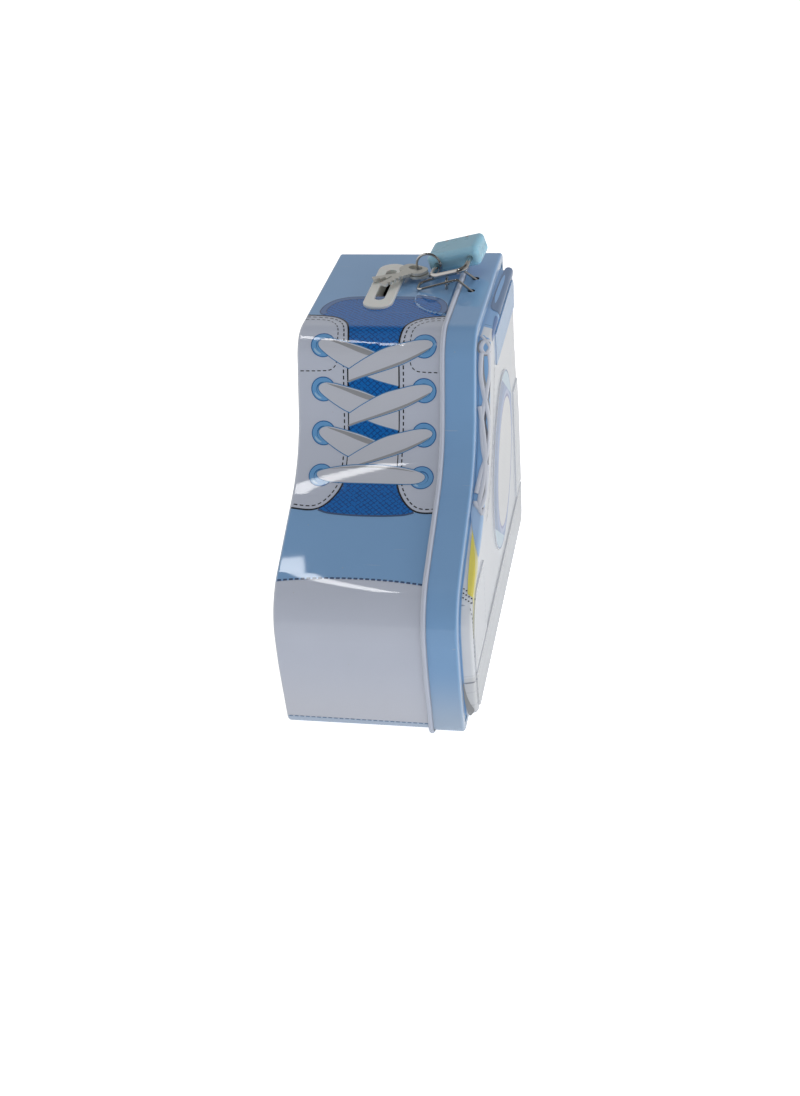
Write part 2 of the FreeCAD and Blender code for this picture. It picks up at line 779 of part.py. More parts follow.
plate_channel = block(
    "plate_channel",
    (
        f"sizes.bolt_plate_length + {THROW} + 2 * sizes.bolt_fit",
        "sizes.bolt_thickness + 2 * sizes.bolt_fit",
        "sizes.bolt_half_height + sizes.bolt_plate_height + 2 * sizes.bolt_fit",
    ),
    (
        f"{PLATE_END} - sizes.bolt_plate_length - {THROW} - sizes.bolt_fit",
        CHANNEL_LOW,
        "-sizes.bolt_half_height - sizes.bolt_fit",
    ),
)
rivet_holes = []
for name, sign in (("left", "-"), ("right", "")):
    rivet_holes.append(
        round_bar(
            f"rivet_hole_{name}",
            "sizes.rivet_radius",
            "2 * sizes.case_thickness",
            (
                f"{sign}sizes.rivet_spread / 2",
                "sizes.case_length - sizes.rivet_from_back",
                "-sizes.case_thickness",
            ),
            UP,
        )
    )
case_bored = cut(
    "case_bored",
    case,
    short_bore,
    long_bore,
    plug_bore,
    collar_bore,
    cam_room,
    nose_channel,
    plate_channel,
    *rivet_holes,
)
for label, low in (("padlock_case_upper", "0"), ("padlock_case_lower", "-sizes.case_thickness")):
    half_space = block(
        label + "_space",
        ("2 * sizes.case_width", "3 * sizes.case_length", "sizes.case_thickness"),
        ("-sizes.case_width", "-sizes.case_length", low),
    )
    node(common(label + "_cut", case_bored, half_space), label).Placement = lock_frame

rivets = []
for name, sign in (("left", "-"), ("right", "")):
    rivets.append(
        round_bar(
            f"rivet_{name}",
            "sizes.rivet_radius",
            "sizes.case_thickness",
            (
                f"{sign}sizes.rivet_spread / 2",
                "sizes.case_length - sizes.rivet_from_back",
                "-sizes.case_thickness / 2",
            ),
            UP,
        )
    )
rivet_pair = doc.addObject("Part::Compound", "rivet_pair")
rivet_pair.Links = rivets
node(rivet_pair, "padlock_rivets").Placement = lock_frame

# Lock plug with its keyway and cam pin; the bolt that the pin throws into the shackle's notch
plug_body = round_bar(
    "plug_body",
    "sizes.plug_radius",
    "sizes.case_length - sizes.plug_recess - sizes.plug_front",
    ("0", "sizes.plug_front", "0"),
    ALONG_Y,
)
plug_collar = round_bar(
    "plug_collar_disc",
    "sizes.plug_radius + sizes.plug_collar",
    "sizes.plug_collar_length",
    ("0", "sizes.plug_front", "0"),
    ALONG_Y,
)
cam_pin = round_bar(
    "cam_pin",
    "sizes.cam_pin_radius",
    "sizes.cam_pin_length + sizes.plug_collar_length",
    ("sizes.cam_orbit * cos(45)", "sizes.plug_front - sizes.cam_pin_length", "sizes.cam_orbit * cos(45)"),
    ALONG_Y,
)
keyway = block(
    "keyway",
    ("sizes.keyway_width", "sizes.keyway_depth + 1", "sizes.keyway_height"),
    (
        "-sizes.keyway_width / 2",
        "sizes.case_length - sizes.plug_recess - sizes.keyway_depth",
        "-sizes.keyway_height / 2",
    ),
)
node(cut("plug_cut", fuse("plug_solid", plug_body, plug_collar, cam_pin), keyway), "lock_plug").Placement = lock_frame

BOLT_LOW = "sizes.plug_front - sizes.cam_pin_length / 2 - sizes.bolt_thickness / 2"
SLOT_WIDTH = "(2 * sizes.cam_pin_radius + 2 * sizes.bolt_slot_play)"
bolt_nose = block(
    "bolt_nose",
    (f"{PLATE_END} - {TIP}", "sizes.bolt_thickness", "2 * sizes.bolt_half_height"),
    (TIP, BOLT_LOW, "-sizes.bolt_half_height"),
)
bolt_plate = block(
    "bolt_plate",
    ("sizes.bolt_plate_length", "sizes.bolt_thickness", "sizes.bolt_half_height + sizes.bolt_plate_height"),
    (f"{PLATE_END} - sizes.bolt_plate_length", BOLT_LOW, "-sizes.bolt_half_height"),
)
bolt_slot = block(
    "bolt_slot",
    (SLOT_WIDTH, "3 * sizes.bolt_thickness", "2 * sizes.bolt_plate_height"),
    (
        f"sizes.cam_orbit * cos(45) - {SLOT_WIDTH} / 2",
        f"{BOLT_LOW} - sizes.bolt_thickness",
        "sizes.cam_orbit * cos(45) - sizes.cam_pin_radius - sizes.bolt_slot_play",
    ),
)
node(cut("bolt_cut", fuse("bolt_solid", bolt_nose, bolt_plate), bolt_slot), "lock_bolt").Placement = lock_frame

# Spring that pushes the long leg out when the bolt lets go
spring_length = s.long_bore_depth - s.long_leg_depth - 2 * s.spring_end_gap - s.spring_wire
helix = Part.makeHelix(spring_length / s.spring_coils, spring_length, s.spring_radius)
helix.rotate(Vector(), Vector(1, 0, 0), -90)
helix.translate(Vector(half_width, s.long_leg_depth + s.spring_end_gap + s.spring_wire / 2, 0))
helix_start = helix.Edges[0].valueAt(helix.Edges[0].FirstParameter)
helix_lead = helix.Edges[0].tangentAt(helix.Edges[0].FirstParameter)
spring_section = Part.Wire(Part.makeCircle(s.spring_wire / 2, helix_start, helix_lead))
spring = Part.Wire(helix.Edges).makePipeShell([spring_section], True, True)
shape_node(spring, "shackle_spring", lock_frame)

# Key ring: round the shackle's short leg, leaning on it
ring_reach = s.ring_radius - s.ring_wire / 2 - s.shackle_rod / 2 - s.ring_gap
lean = math.radians(s.ring_lean)
ring_a = -half_width + ring_reach * math.cos(lean)
ring_c = ring_reach * math.sin(lean)
ring = doc.addObject("Part::Torus", "ring_torus")
bind(ring, Radius1="sizes.ring_radius", Radius2="sizes.ring_wire / 2")
ring_local = Placement(Vector(ring_a, -s.ring_before_case, ring_c), Rotation(UP, ALONG_Y))
ring.Placement = lock_frame.multiply(ring_local)
node(ring, "key_ring")

# Keys: flat blanks on the ring, one over the other
def on_ring(degrees):
    """A point of the ring's wire, in the row frame."""
    angle = math.radians(degrees)
    return in_lock(
        ring_a + s.ring_radius * math.cos(angle), -s.ring_before_case, ring_c + s.ring_radius * math.sin(angle)
    )


def key_blank(name):
    """A bound key blank with its hole at the origin and its blade along +X."""
    bow = rounded(
        name + "_bow",
        block(
            name + "_bow_block",
            ("sizes.key_bow_length", "sizes.key_bow_width", "sizes.key_thickness"),
            ("-sizes.key_hole_inset", "-sizes.key_bow_width / 2", "-sizes.key_thickness / 2"),
        ),
        s.key_bow_round,
        lambda edge: edge.BoundBox.ZLength > s.key_thickness / 2,
    )
    neck = block(
        name + "_neck",
        ("sizes.key_neck_length + sizes.key_bow_length / 2", "sizes.key_neck_width", "sizes.key_thickness"),
        (
            "sizes.key_bow_length / 2 - sizes.key_hole_inset",
            "-sizes.key_neck_width / 2",
            "-sizes.key_thickness / 2",
        ),
    )
    blade_start = "sizes.key_bow_length - sizes.key_hole_inset + sizes.key_neck_length"
    blade = block(
        name + "_blade",
        ("sizes.key_blade_length + 1", "sizes.key_blade_width", "sizes.key_thickness"),
        (f"{blade_start} - 1", "-sizes.key_blade_width / 2", "-sizes.key_thickness / 2"),
    )
    straight = "(sizes.key_hole_length - sizes.key_hole_width)"
    holes = [
        block(
            name + "_hole_middle",
            ("sizes.key_hole_width", straight, "3 * sizes.key_thickness"),
            ("-sizes.key_hole_width / 2", f"-{straight} / 2", "-1.5 * sizes.key_thickness"),
        )
    ]
    for side, sign in (("left", "-"), ("right", "")):
        holes.append(
            round_bar(
                f"{name}_hole_{side}",
                "sizes.key_hole_width / 2",
                "3 * sizes.key_thickness",
                ("0", f"{sign}{straight} / 2", "-1.5 * sizes.key_thickness"),
                UP,
            )
        )
    teeth = []
    for i in range(int(s.key_tooth_count)):
        teeth.append(
            block(
                f"{name}_tooth_{i}",
                ("sizes.key_tooth_width", "sizes.key_tooth_depth + 1", "3 * sizes.key_thickness"),
                (
                    f"{blade_start} + {i + 1} * sizes.key_tooth_pitch",
                    "sizes.key_blade_width / 2 - sizes.key_tooth_depth",
                    "-1.5 * sizes.key_thickness",
                ),
            )
        )
    return cut(name + "_cut", fuse(name + "_solid", bow, neck, blade), *holes, *teeth)


for label, heading, grip, hang in (
    ("lower_key", s.lower_key_heading, s.lower_key_grip, s.lower_key_hang),
    ("upper_key", s.upper_key_heading, s.upper_key_grip, s.upper_key_hang),
):
    turn = Rotation(UP, heading)
    hole_at = on_ring(grip) - turn.multVec(ALONG_Y) * hang
    node(key_blank(label), label).Placement = Placement(hole_at, turn)

# Checks, then one file for each sub-part
doc.recompute()
for obj in doc.Objects:
    if "Invalid" in obj.State or "Error" in obj.State:
        raise RuntimeError(f"{obj.Label} failed: {obj.State}")
for obj in nodes:
    if obj.Shape.isNull() or not obj.Shape.isValid():
        raise RuntimeError(f"{obj.Label} has no valid shape")
os.makedirs("parts", exist_ok=True)
for obj in nodes:
    obj.Shape.exportStep(f"parts/{obj.Label}.step")
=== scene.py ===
"""Looks of the tin money box: printed tinplate, wire, padlock and keys, on a white sweep.

Sizes are in millimetres until a mesh is made. Print is drawn flat, on an unrolled strip: one way
across the strip, and s along the shoe's outline from the toe of the sole up. A surface then says
where each point of the strip lies.
"""

import logging
import math
from dataclasses import dataclass, field
from enum import Enum
from typing import NamedTuple, Protocol

import bmesh
import bpy
from bpy.types import Material, Node, NodeTree, Object
from bpy.types import NodeSocket as Socket
from mathutils import Matrix, Vector


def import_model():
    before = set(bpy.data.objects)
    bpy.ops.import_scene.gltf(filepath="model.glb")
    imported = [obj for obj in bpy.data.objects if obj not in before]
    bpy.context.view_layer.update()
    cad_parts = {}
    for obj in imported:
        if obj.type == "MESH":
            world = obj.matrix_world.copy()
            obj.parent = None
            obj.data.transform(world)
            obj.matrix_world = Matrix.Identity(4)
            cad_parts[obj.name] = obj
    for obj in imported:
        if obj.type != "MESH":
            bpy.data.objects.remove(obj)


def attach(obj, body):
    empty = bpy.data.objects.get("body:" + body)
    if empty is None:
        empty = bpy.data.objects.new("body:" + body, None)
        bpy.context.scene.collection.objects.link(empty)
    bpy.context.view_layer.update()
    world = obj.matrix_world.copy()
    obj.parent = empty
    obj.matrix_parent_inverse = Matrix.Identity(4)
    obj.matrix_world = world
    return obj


LOG = logging.getLogger("money_box")
MM = 0.001

# Where the outline's start and the wall's back edge are, in millimetres, and a point inside, in metres.
TOE_Y = -88.0
SOLE_Z = 2.3
BACK_X = -40.3
SHOE_MIDDLE = (0.0, 0.010, 0.045)

# Print: its usual lift, how finely it is cut, the length of its map, and how the vamp's seam bows.
PRINT_LIFT = 0.10
PRINT_STEP = 1.0
STITCH_GRAIN = 0.2
DISC_SEGMENTS = 40
CUT_MERGE = 1e-5
UV_SPAN = 100.0
VAMP_BOW = 0.0021

# Materials: how deep a bump can be, and how far each colour of light goes into plastic.
BUMP_DEPTH = 0.4 * MM
SCATTER = (0.6, 1.0, 1.1)

Colour = tuple[float, float, float]
Place = tuple[float, float, float]
Point = tuple[float, float]
Span = tuple[float, float]
Value = Socket | float


def grey(value: float) -> Colour:
    """A colour without a hue."""
    return (value, value, value)


class Parts(NamedTuple):
    """A vector's parts."""

    x: Socket
    y: Socket
    z: Socket


class Ink(Enum):
    """The colours on the tin, as linear values; a few are painted light and shade instead, as noted beside
    them.
    """

    WHITE = (0.66, 0.71, 0.84)
    SKY = (0.262, 0.48, 0.80)
    MESH = (0.006, 0.175, 0.60)
    MESH_LINE = (0.004, 0.060, 0.25)
    TONGUE_RIM = (0.10, 0.21, 0.47)
    LINING = (0.14, 0.23, 0.40)
    MIST = (0.42, 0.60, 0.86)
    LINE = (0.012, 0.014, 0.022)
    SEAM = (0.070, 0.120, 0.25)
    SOLE = (0.36, 0.56, 0.82)
    # Painted reflection of the white floor, low on the wall.
    WHITE_FLOOR_REFLECTION = (0.82, 0.82, 0.86)
    # Painted reflection of the white floor, low on the lid's rim.
    SKY_FLOOR_REFLECTION = (0.52, 0.64, 0.80)
    # Painted highlight along the wall's rounded back edge.
    WALL_EDGE_HIGHLIGHT = (0.88, 0.90, 0.94)
    # Painted highlight along the rim's rounded far edge.
    RIM_HIGHLIGHT = (0.74, 0.82, 0.92)
    SOLE_SEAM = (0.17, 0.29, 0.48)
    RING = (0.18, 0.44, 0.80)
    RING_EDGE = (0.045, 0.17, 0.46)
    GLINT = (0.42, 0.66, 0.90)
    LACE = (0.68, 0.71, 0.80)
    LACE_SHADE = (0.38, 0.39, 0.42)
    LACE_EDGE = (0.09, 0.28, 0.58)
    # Painted shadow under the lid's raised laces.
    LACE_GAP = (0.15, 0.16, 0.20)
    YELLOW = (0.84, 0.74, 0.16)
    PALE_YELLOW = (0.84, 0.80, 0.44)
    BUMPER = (0.36, 0.37, 0.38)
    # Also used for the painted shadow under some of the lid's laces.
    GREY = (0.34, 0.36, 0.40)
    QUARTER = (0.80, 0.83, 0.88)
    SOLE_BAND = (0.72, 0.74, 0.77)
    RIB = (0.84, 0.85, 0.86)
    BADGE = (0.08, 0.19, 0.44)
    BADGE_BLUE = (0.14, 0.28, 0.60)
    BADGE_LILAC = (0.36, 0.47, 0.78)
    BADGE_VIOLET = (0.14, 0.17, 0.46)
    PALE = (0.50, 0.72, 0.88)
    SCRATCH = (0.75, 0.77, 0.80)
    DUST = (0.55, 0.55, 0.55)


Shade = Socket | Colour | Ink


class Tree:
    """Adds nodes to a node tree."""

    def __init__(self, tree: NodeTree) -> None:
        """Keeps the tree.

        Args:
            tree: The tree that nodes are added to.
        """
        self.tree = tree

    def feed(self, node: Node, inputs: dict) -> None:
        """Sets or links a node's inputs.

        Args:
            node: The node.
            inputs: A value, or a socket to link, for each named or numbered input.
        """
        for name, value in inputs.items():
            if isinstance(value, Socket):
                self.tree.links.new(value, node.inputs[name])
            else:
                node.inputs[name].default_value = value

    def node(self, kind: str, inputs: dict | None = None, **settings: object) -> Node:
        """Adds a node.

        Args:
            kind: The node's type.
            inputs: A value, or a socket to link, for each named or numbered input.
            settings: The node's own properties.

        Returns:
            The node.
        """
        node = self.tree.nodes.new(kind)
        for name, value in settings.items():
            setattr(node, name, value)
        self.feed(node, inputs or {})
        return node

    def maths(self, operation: str, a: Value, b: Value = 0.0, c: Value = 0.0) -> Socket:
        """Adds a sum of numbers and returns its result."""
        return self.node("ShaderNodeMath", {0: a, 1: b, 2: c}, operation=operation).outputs[0]

    def step(self, value: Value, low: float, high: float) -> Socket:
        """Rises smoothly from 0 to 1.

        Args:
            value: What is measured.
            low: Where the rise starts. It is a fall if this is above high.
            high: Where the rise ends.

        Returns:
            The mask.
        """
        inputs = {"Value": value, "From Min": min(low, high), "From Max": max(low, high)}
        inputs |= {"To Min": float(low > high), "To Max": float(low < high)}
        return self.node("ShaderNodeMapRange", inputs, interpolation_type="SMOOTHSTEP").outputs[0]

    def above(self, value: Value, limit: float, soft: float = 0.1) -> Socket:
        """1 above a limit and 0 below it, with a soft change."""
        return self.step(value, limit - soft, limit + soft)

    def below(self, value: Value, limit: float, soft: float = 0.1) -> Socket:
        """1 below a limit and 0 above it, with a soft change."""
        return self.step(value, limit + soft, limit - soft)

    def line(self, value: Value, middle: float, half: float, soft: float) -> Socket:
        """1 along a line.

        Args:
            value: What is measured.
            middle: Where the line's middle is.
            half: Half the line's width.
            soft: How much of that fades out.

        Returns:
            The mask.
        """
        away = self.maths("ABSOLUTE", self.maths("SUBTRACT", value, middle))
        return self.step(away, half, half - soft)

    def both(self, first: Socket, *others: Socket) -> Socket:
        """Multiplies masks.

        Args:
            first: A mask.
            others: The other masks.

        Returns:
            Where all of them are.
        """
        for mask in others:
            first = self.maths("MULTIPLY", first, mask)
        return first

    def mix(self, mask: Value, a: Shade, b: Shade, amount: float = 1.0) -> Socket:
        """Mixes two colours.

        Args:
            mask: 0 for a and 1 for b.
            a: The first colour.
            b: The second colour.
            amount: How much of b shows where the mask is 1.

        Returns:
            The mixed colour.
        """
        if amount != 1.0:
            mask = self.maths("MULTIPLY", mask, amount)
        a, b = (c.value if isinstance(c, Ink) else c for c in (a, b))
        a, b = ((*c, 1.0) if isinstance(c, tuple) else c for c in (a, b))
        return self.node("ShaderNodeMix", {0: mask, 6: a, 7: b}, data_type="RGBA").outputs[2]

    def noise(self, vector: Socket, scale: float, detail: float = 2.0) -> Socket:
        """Adds a noise and returns its value."""
        inputs = {"Vector": vector, "Scale": scale, "Detail": detail}
        return self.node("ShaderNodeTexNoise", inputs).outputs[0]

    def stretch(self, vector: Socket, x: float, y: float, z: float) -> Socket:
        """Scales a vector's parts and returns it."""
        return self.vectors("MULTIPLY", {0: vector, 1: (x, y, z)}).outputs[0]

    def vectors(self, operation: str, inputs: dict) -> Node:
        """Adds a sum of vectors and returns its node."""
        return self.node("ShaderNodeVectorMath", inputs, operation=operation)

    def split(self, vector: Socket) -> Parts:
        """Adds a node that parts a vector and returns its parts."""
        return Parts(*self.node("ShaderNodeSeparateXYZ", {0: vector}).outputs)


def new_group(name: str, inputs: dict[str, str], outputs: dict[str, str]) -> tuple[Tree, Node, Node]:
    """Starts a shader node group.

    Args:
        name: The group's name.
        inputs: The kind of each input socket: Color, Vector or Float.
        outputs: The kind of each output socket.

    Returns:
        Its tree, its input node and its output node.
    """
    group = bpy.data.node_groups.new(name, "ShaderNodeTree")
    for way, sockets in (("INPUT", inputs), ("OUTPUT", outputs)):
        for label, kind in sockets.items():
            group.interface.new_socket(label, in_out=way, socket_type=f"NodeSocket{kind}")
    tree = Tree(group)
    return tree, tree.node("NodeGroupInput"), tree.node("NodeGroupOutput")


@dataclass
class Wear:
    """Shared node groups that keep a surface from being one flat colour."""

    cloud_scale: float = 32.0
    grain_scale: float = 2600.0
    smudge_scale: float = 75.0
    ripple_scale: float = 420.0
    dust_scale: float = 130.0
    hair_scale: Place = (45.0, 900.0, 160.0)
    hair_from: Span = (0.705, 0.74)
    dust_to: Span = (0.050, 0.030)
    scratch_shown: float = 0.16
    dust_shown: float = 0.25
    smudge_dulls: float = 0.22
    scratch_dulls: float = 0.12
    least_rough: float = 0.03
    group: NodeTree = field(init=False)
    inside: NodeTree = field(init=False)

    def __post_init__(self) -> None:
        """Makes the groups."""
        self.group = self._wear()
        self.inside = self._inside()

    def _wear(self) -> NodeTree:
        """Cloudy tone, fine grain, smudges, scratches and dust.

        Returns:
            The group.
        """
        tree, given, out = new_group(
            "wear",
            {"Color": "Color", "Vector": "Vector", "Tone": "Float", "Rough": "Float"},
            {"Color": "Color", "Rough": "Float", "Height": "Float"},
        )
        colour, vector, tone, rough = given.outputs[:4]
        cloud = tree.noise(vector, self.cloud_scale, 4.0)
        grain = tree.noise(vector, self.grain_scale, 1.0)
        smudge = tree.noise(vector, self.smudge_scale, 5.0)
        ripple = tree.noise(vector, self.ripple_scale)
        hair = tree.noise(tree.stretch(vector, *self.hair_scale), 1.0, 3.0)
        scratch = tree.step(hair, *self.hair_from)
        dust = tree.node("ShaderNodeTexVoronoi", {"Vector": vector, "Scale": self.dust_scale})
        speck = tree.step(dust.outputs["Distance"], *self.dust_to)
        blend = tree.maths("MULTIPLY_ADD", cloud, 0.7, tree.maths("MULTIPLY", grain, 0.3))
        swing = tree.maths("MULTIPLY_ADD", tree.maths("SUBTRACT", blend, 0.5), tone, 1.0)
        tinted = tree.vectors("SCALE", {0: colour, 3: swing}).outputs[0]
        worn = tree.mix(scratch, tinted, Ink.SCRATCH, self.scratch_shown)
        dusty = tree.mix(speck, worn, Ink.DUST, self.dust_shown)
        smudged = tree.maths("MULTIPLY_ADD", tree.maths("SUBTRACT", smudge, 0.5), self.smudge_dulls, rough)
        marked = tree.maths("MULTIPLY_ADD", scratch, self.scratch_dulls, smudged)
        rough = tree.maths("MAXIMUM", marked, self.least_rough)
        height = tree.maths("MULTIPLY_ADD", ripple, 0.6, tree.maths("MULTIPLY", grain, 0.4))
        height = tree.maths("SUBTRACT", height, scratch)
        tree.feed(out, {"Color": dusty, "Rough": rough, "Height": height})
        return tree.tree

    def _inside(self) -> NodeTree:
        """1 where a surface faces the middle of the shoe, as the inside of the tin does.

        Returns:
            The group.
        """
        tree, given, out = new_group("inside", {"Vector": "Vector", "Normal": "Vector"}, {"Mask": "Float"})
        away = tree.vectors("SUBTRACT", {0: given.outputs[0], 1: SHOE_MIDDLE}).outputs[0]
        flat = tree.stretch(away, 0.0, 1.0, 1.0)
        facing = tree.vectors("DOT_PRODUCT", {0: flat, 1: given.outputs[1]}).outputs["Value"]
        tree.feed(out, {"Mask": tree.maths("LESS_THAN", facing, -MM)})
        return tree.tree


@dataclass(frozen=True)
class Finish:
    """How a material looks, apart from its colour."""

    roughness: float
    metallic: float = 0.0
    coat: float = 0.0
    coat_roughness: float = 0.06
    tone: float = 0.10
    bump: float = 0.010
    subsurface: float = 0.0
    radius: float = 1.0

    def gloss(self) -> float:
        """The gloss of what lies under the coat, which takes most of it."""
        return 0.5 - 0.4 * self.coat

    def material(self, name: str, wear: Wear, paint: "Colour | Paint") -> Material:
        """Makes a material.

        Args:
            name: The material's name.
            wear: The shared node groups.
            paint: Its colour, or the object that mixes one.

        Returns:
            The material.
        """
        material = bpy.data.materials.new(name)
        material.use_nodes = True
        tree = Tree(material.node_tree)
        shader = material.node_tree.nodes["Principled BSDF"]
        place = tree.node("ShaderNodeTexCoord")
        metallic, coat = self.metallic, self.coat
        if isinstance(paint, tuple):
            colour = (*paint, 1.0)
        else:
            colour = paint.mix(tree, place, wear)
            bare = paint.bare(tree, place, wear)
            if bare is not None:
                metallic = bare
                coat = tree.maths("MULTIPLY", tree.maths("SUBTRACT", 1.0, bare), self.coat)
        inputs = {"Color": colour, "Vector": place.outputs["Object"]}
        inputs |= {"Tone": self.tone, "Rough": self.roughness}
        worn = tree.node("ShaderNodeGroup", inputs, node_tree=wear.group).outputs
        inputs = {"Strength": self.bump, "Distance": BUMP_DEPTH, "Height": worn["Height"]}
        bump = tree.node("ShaderNodeBump", inputs)
        inputs = {"Base Color": worn["Color"], "Roughness": worn["Rough"], "Normal": bump.outputs[0]}
        inputs |= {"Metallic": metallic, "Coat Weight": coat, "Coat Roughness": self.coat_roughness}
        inputs |= {"Specular IOR Level": self.gloss()}
        if self.subsurface:
            inputs |= {"Subsurface Weight": self.subsurface, "Subsurface Radius": SCATTER}
            inputs |= {"Subsurface Scale": self.radius * MM}
        tree.feed(shader, inputs)
        return material


TIN = Finish(roughness=0.34, coat=1.0, coat_roughness=0.03, tone=0.10, bump=0.012)


class Paint(Protocol):
    """Mixes a surface's colour from where a point is."""

    def mix(self, tree: Tree, place: Node, wear: Wear) -> Socket:
        """Adds the nodes that give the colour."""

    def bare(self, tree: Tree, place: Node, wear: Wear) -> Socket | None:
        """Adds the nodes that say where the tin is bare."""


@dataclass(frozen=True)
class Printed:
    """Tinplate that is printed outside and bare inside."""

    tin: Colour = (0.60, 0.58, 0.52)

    def outside(self, tree: Tree, spot: Parts) -> Socket:
        """Adds the print.

        Args:
            tree: Where nodes are added.
            spot: Millimetres from the box's middle towards the lid, from the toe and above the sole.

        Returns:
            The colour.
        """
        raise NotImplementedError

    def bare(self, tree: Tree, place: Node, wear: Wear) -> Socket:
        """Adds the mask of the tin's inside and returns it."""
        inputs = {"Vector": place.outputs["Object"], "Normal": place.outputs["Normal"]}
        return tree.node("ShaderNodeGroup", inputs, node_tree=wear.inside).outputs["Mask"]

    def mix(self, tree: Tree, place: Node, wear: Wear) -> Socket:
        """Adds the print outside and the tin inside.

        Args:
            tree: Where nodes are added.
            place: The texture coordinates.
            wear: The shared node groups.

        Returns:
            The colour.
        """
        part = tree.split(place.outputs["Object"])
        spot = Parts(
            tree.maths("MULTIPLY", part.x, 1 / MM),
            tree.maths("MULTIPLY_ADD", part.y, 1 / MM, -TOE_Y),
            tree.maths("MULTIPLY_ADD", part.z, 1 / MM, -SOLE_Z),
        )
        return tree.mix(self.bare(tree, place, wear), self.outside(tree, spot), self.tin)


@dataclass(frozen=True)
class WallPaint(Printed):
    """The wall: white toe cap and eyestays, light-blue vamp, sole, top and heel, with a painted highlight
    along its back edge and a painted reflection of the floor that grows towards the sole.
    """

    sole: float = 4.9
    vamp_from: float = 12.6
    vamp_to: float = 41.9
    stay_to: float = 100.4
    middle: float = -7.9
    edge_from: float = BACK_X + 1.1
    edge_full: float = BACK_X + 0.3
    edge_highlight: float = 0.5
    fade_from: float = 40.0
    floor_reflection: float = 0.45

    def outside(self, tree: Tree, spot: Parts) -> Socket:
        """Adds the zones of the wall, the painted highlight on its back edge and the painted floor reflection.

        Args:
            tree: Where nodes are added.
            spot: Where a point is, as for any print.

        Returns:
            The colour.
        """
        side = tree.maths("SUBTRACT", spot.x, self.middle)
        bow = tree.maths("MULTIPLY", tree.maths("MULTIPLY", side, side), VAMP_BOW)
        front = tree.above(tree.maths("ADD", spot.y, bow), self.vamp_from)
        vamp = tree.both(front, tree.below(spot.y, self.vamp_to))
        blue = tree.maths("MAXIMUM", vamp, tree.above(spot.y, self.stay_to))
        colour = tree.mix(blue, Ink.WHITE, Ink.SKY)
        colour = tree.mix(tree.below(spot.z, self.sole), colour, Ink.SOLE)
        # A paler band along the back edge: a painted highlight of the rounded rim.
        edge = tree.step(spot.x, self.edge_from, self.edge_full)
        colour = tree.mix(edge, colour, Ink.WALL_EDGE_HIGHLIGHT, self.edge_highlight)
        # Paler towards the sole: a painted reflection of the white floor.
        return tree.mix(tree.step(spot.z, self.fade_from, 0.0), colour, Ink.WHITE_FLOOR_REFLECTION, self.floor_reflection)


@dataclass(frozen=True)
class SkirtPaint(Printed):
    """The lid's rim: a white bead, then light blue, with a painted highlight at the far edge and a painted
    reflection of the floor that grows towards the sole.
    """

    bead_to: float = 22.15
    fade_from: float = 38.0
    fade_to: float = -2.0
    edge_from: float = 34.0
    edge_full: float = 34.8
    edge_highlight: float = 0.4

    def outside(self, tree: Tree, spot: Parts) -> Socket:
        """Adds the bead's white, the painted floor reflection and the painted highlight at the far edge.

        Args:
            tree: Where nodes are added.
            spot: Where a point is, as for any print.

        Returns:
            The colour.
        """
        # Paler towards the sole: a painted reflection of the white floor.
        low = tree.step(spot.z, self.fade_from, self.fade_to)
        colour = tree.mix(low, Ink.SKY, Ink.SKY_FLOOR_REFLECTION)
        # A paler band at the far edge: a painted highlight of the rounded edge.
        edge = tree.step(spot.x, self.edge_from, self.edge_full)
        colour = tree.mix(edge, colour, Ink.RIM_HIGHLIGHT, self.edge_highlight)
        return tree.mix(tree.below(spot.x, self.bead_to), colour, Ink.WHITE)


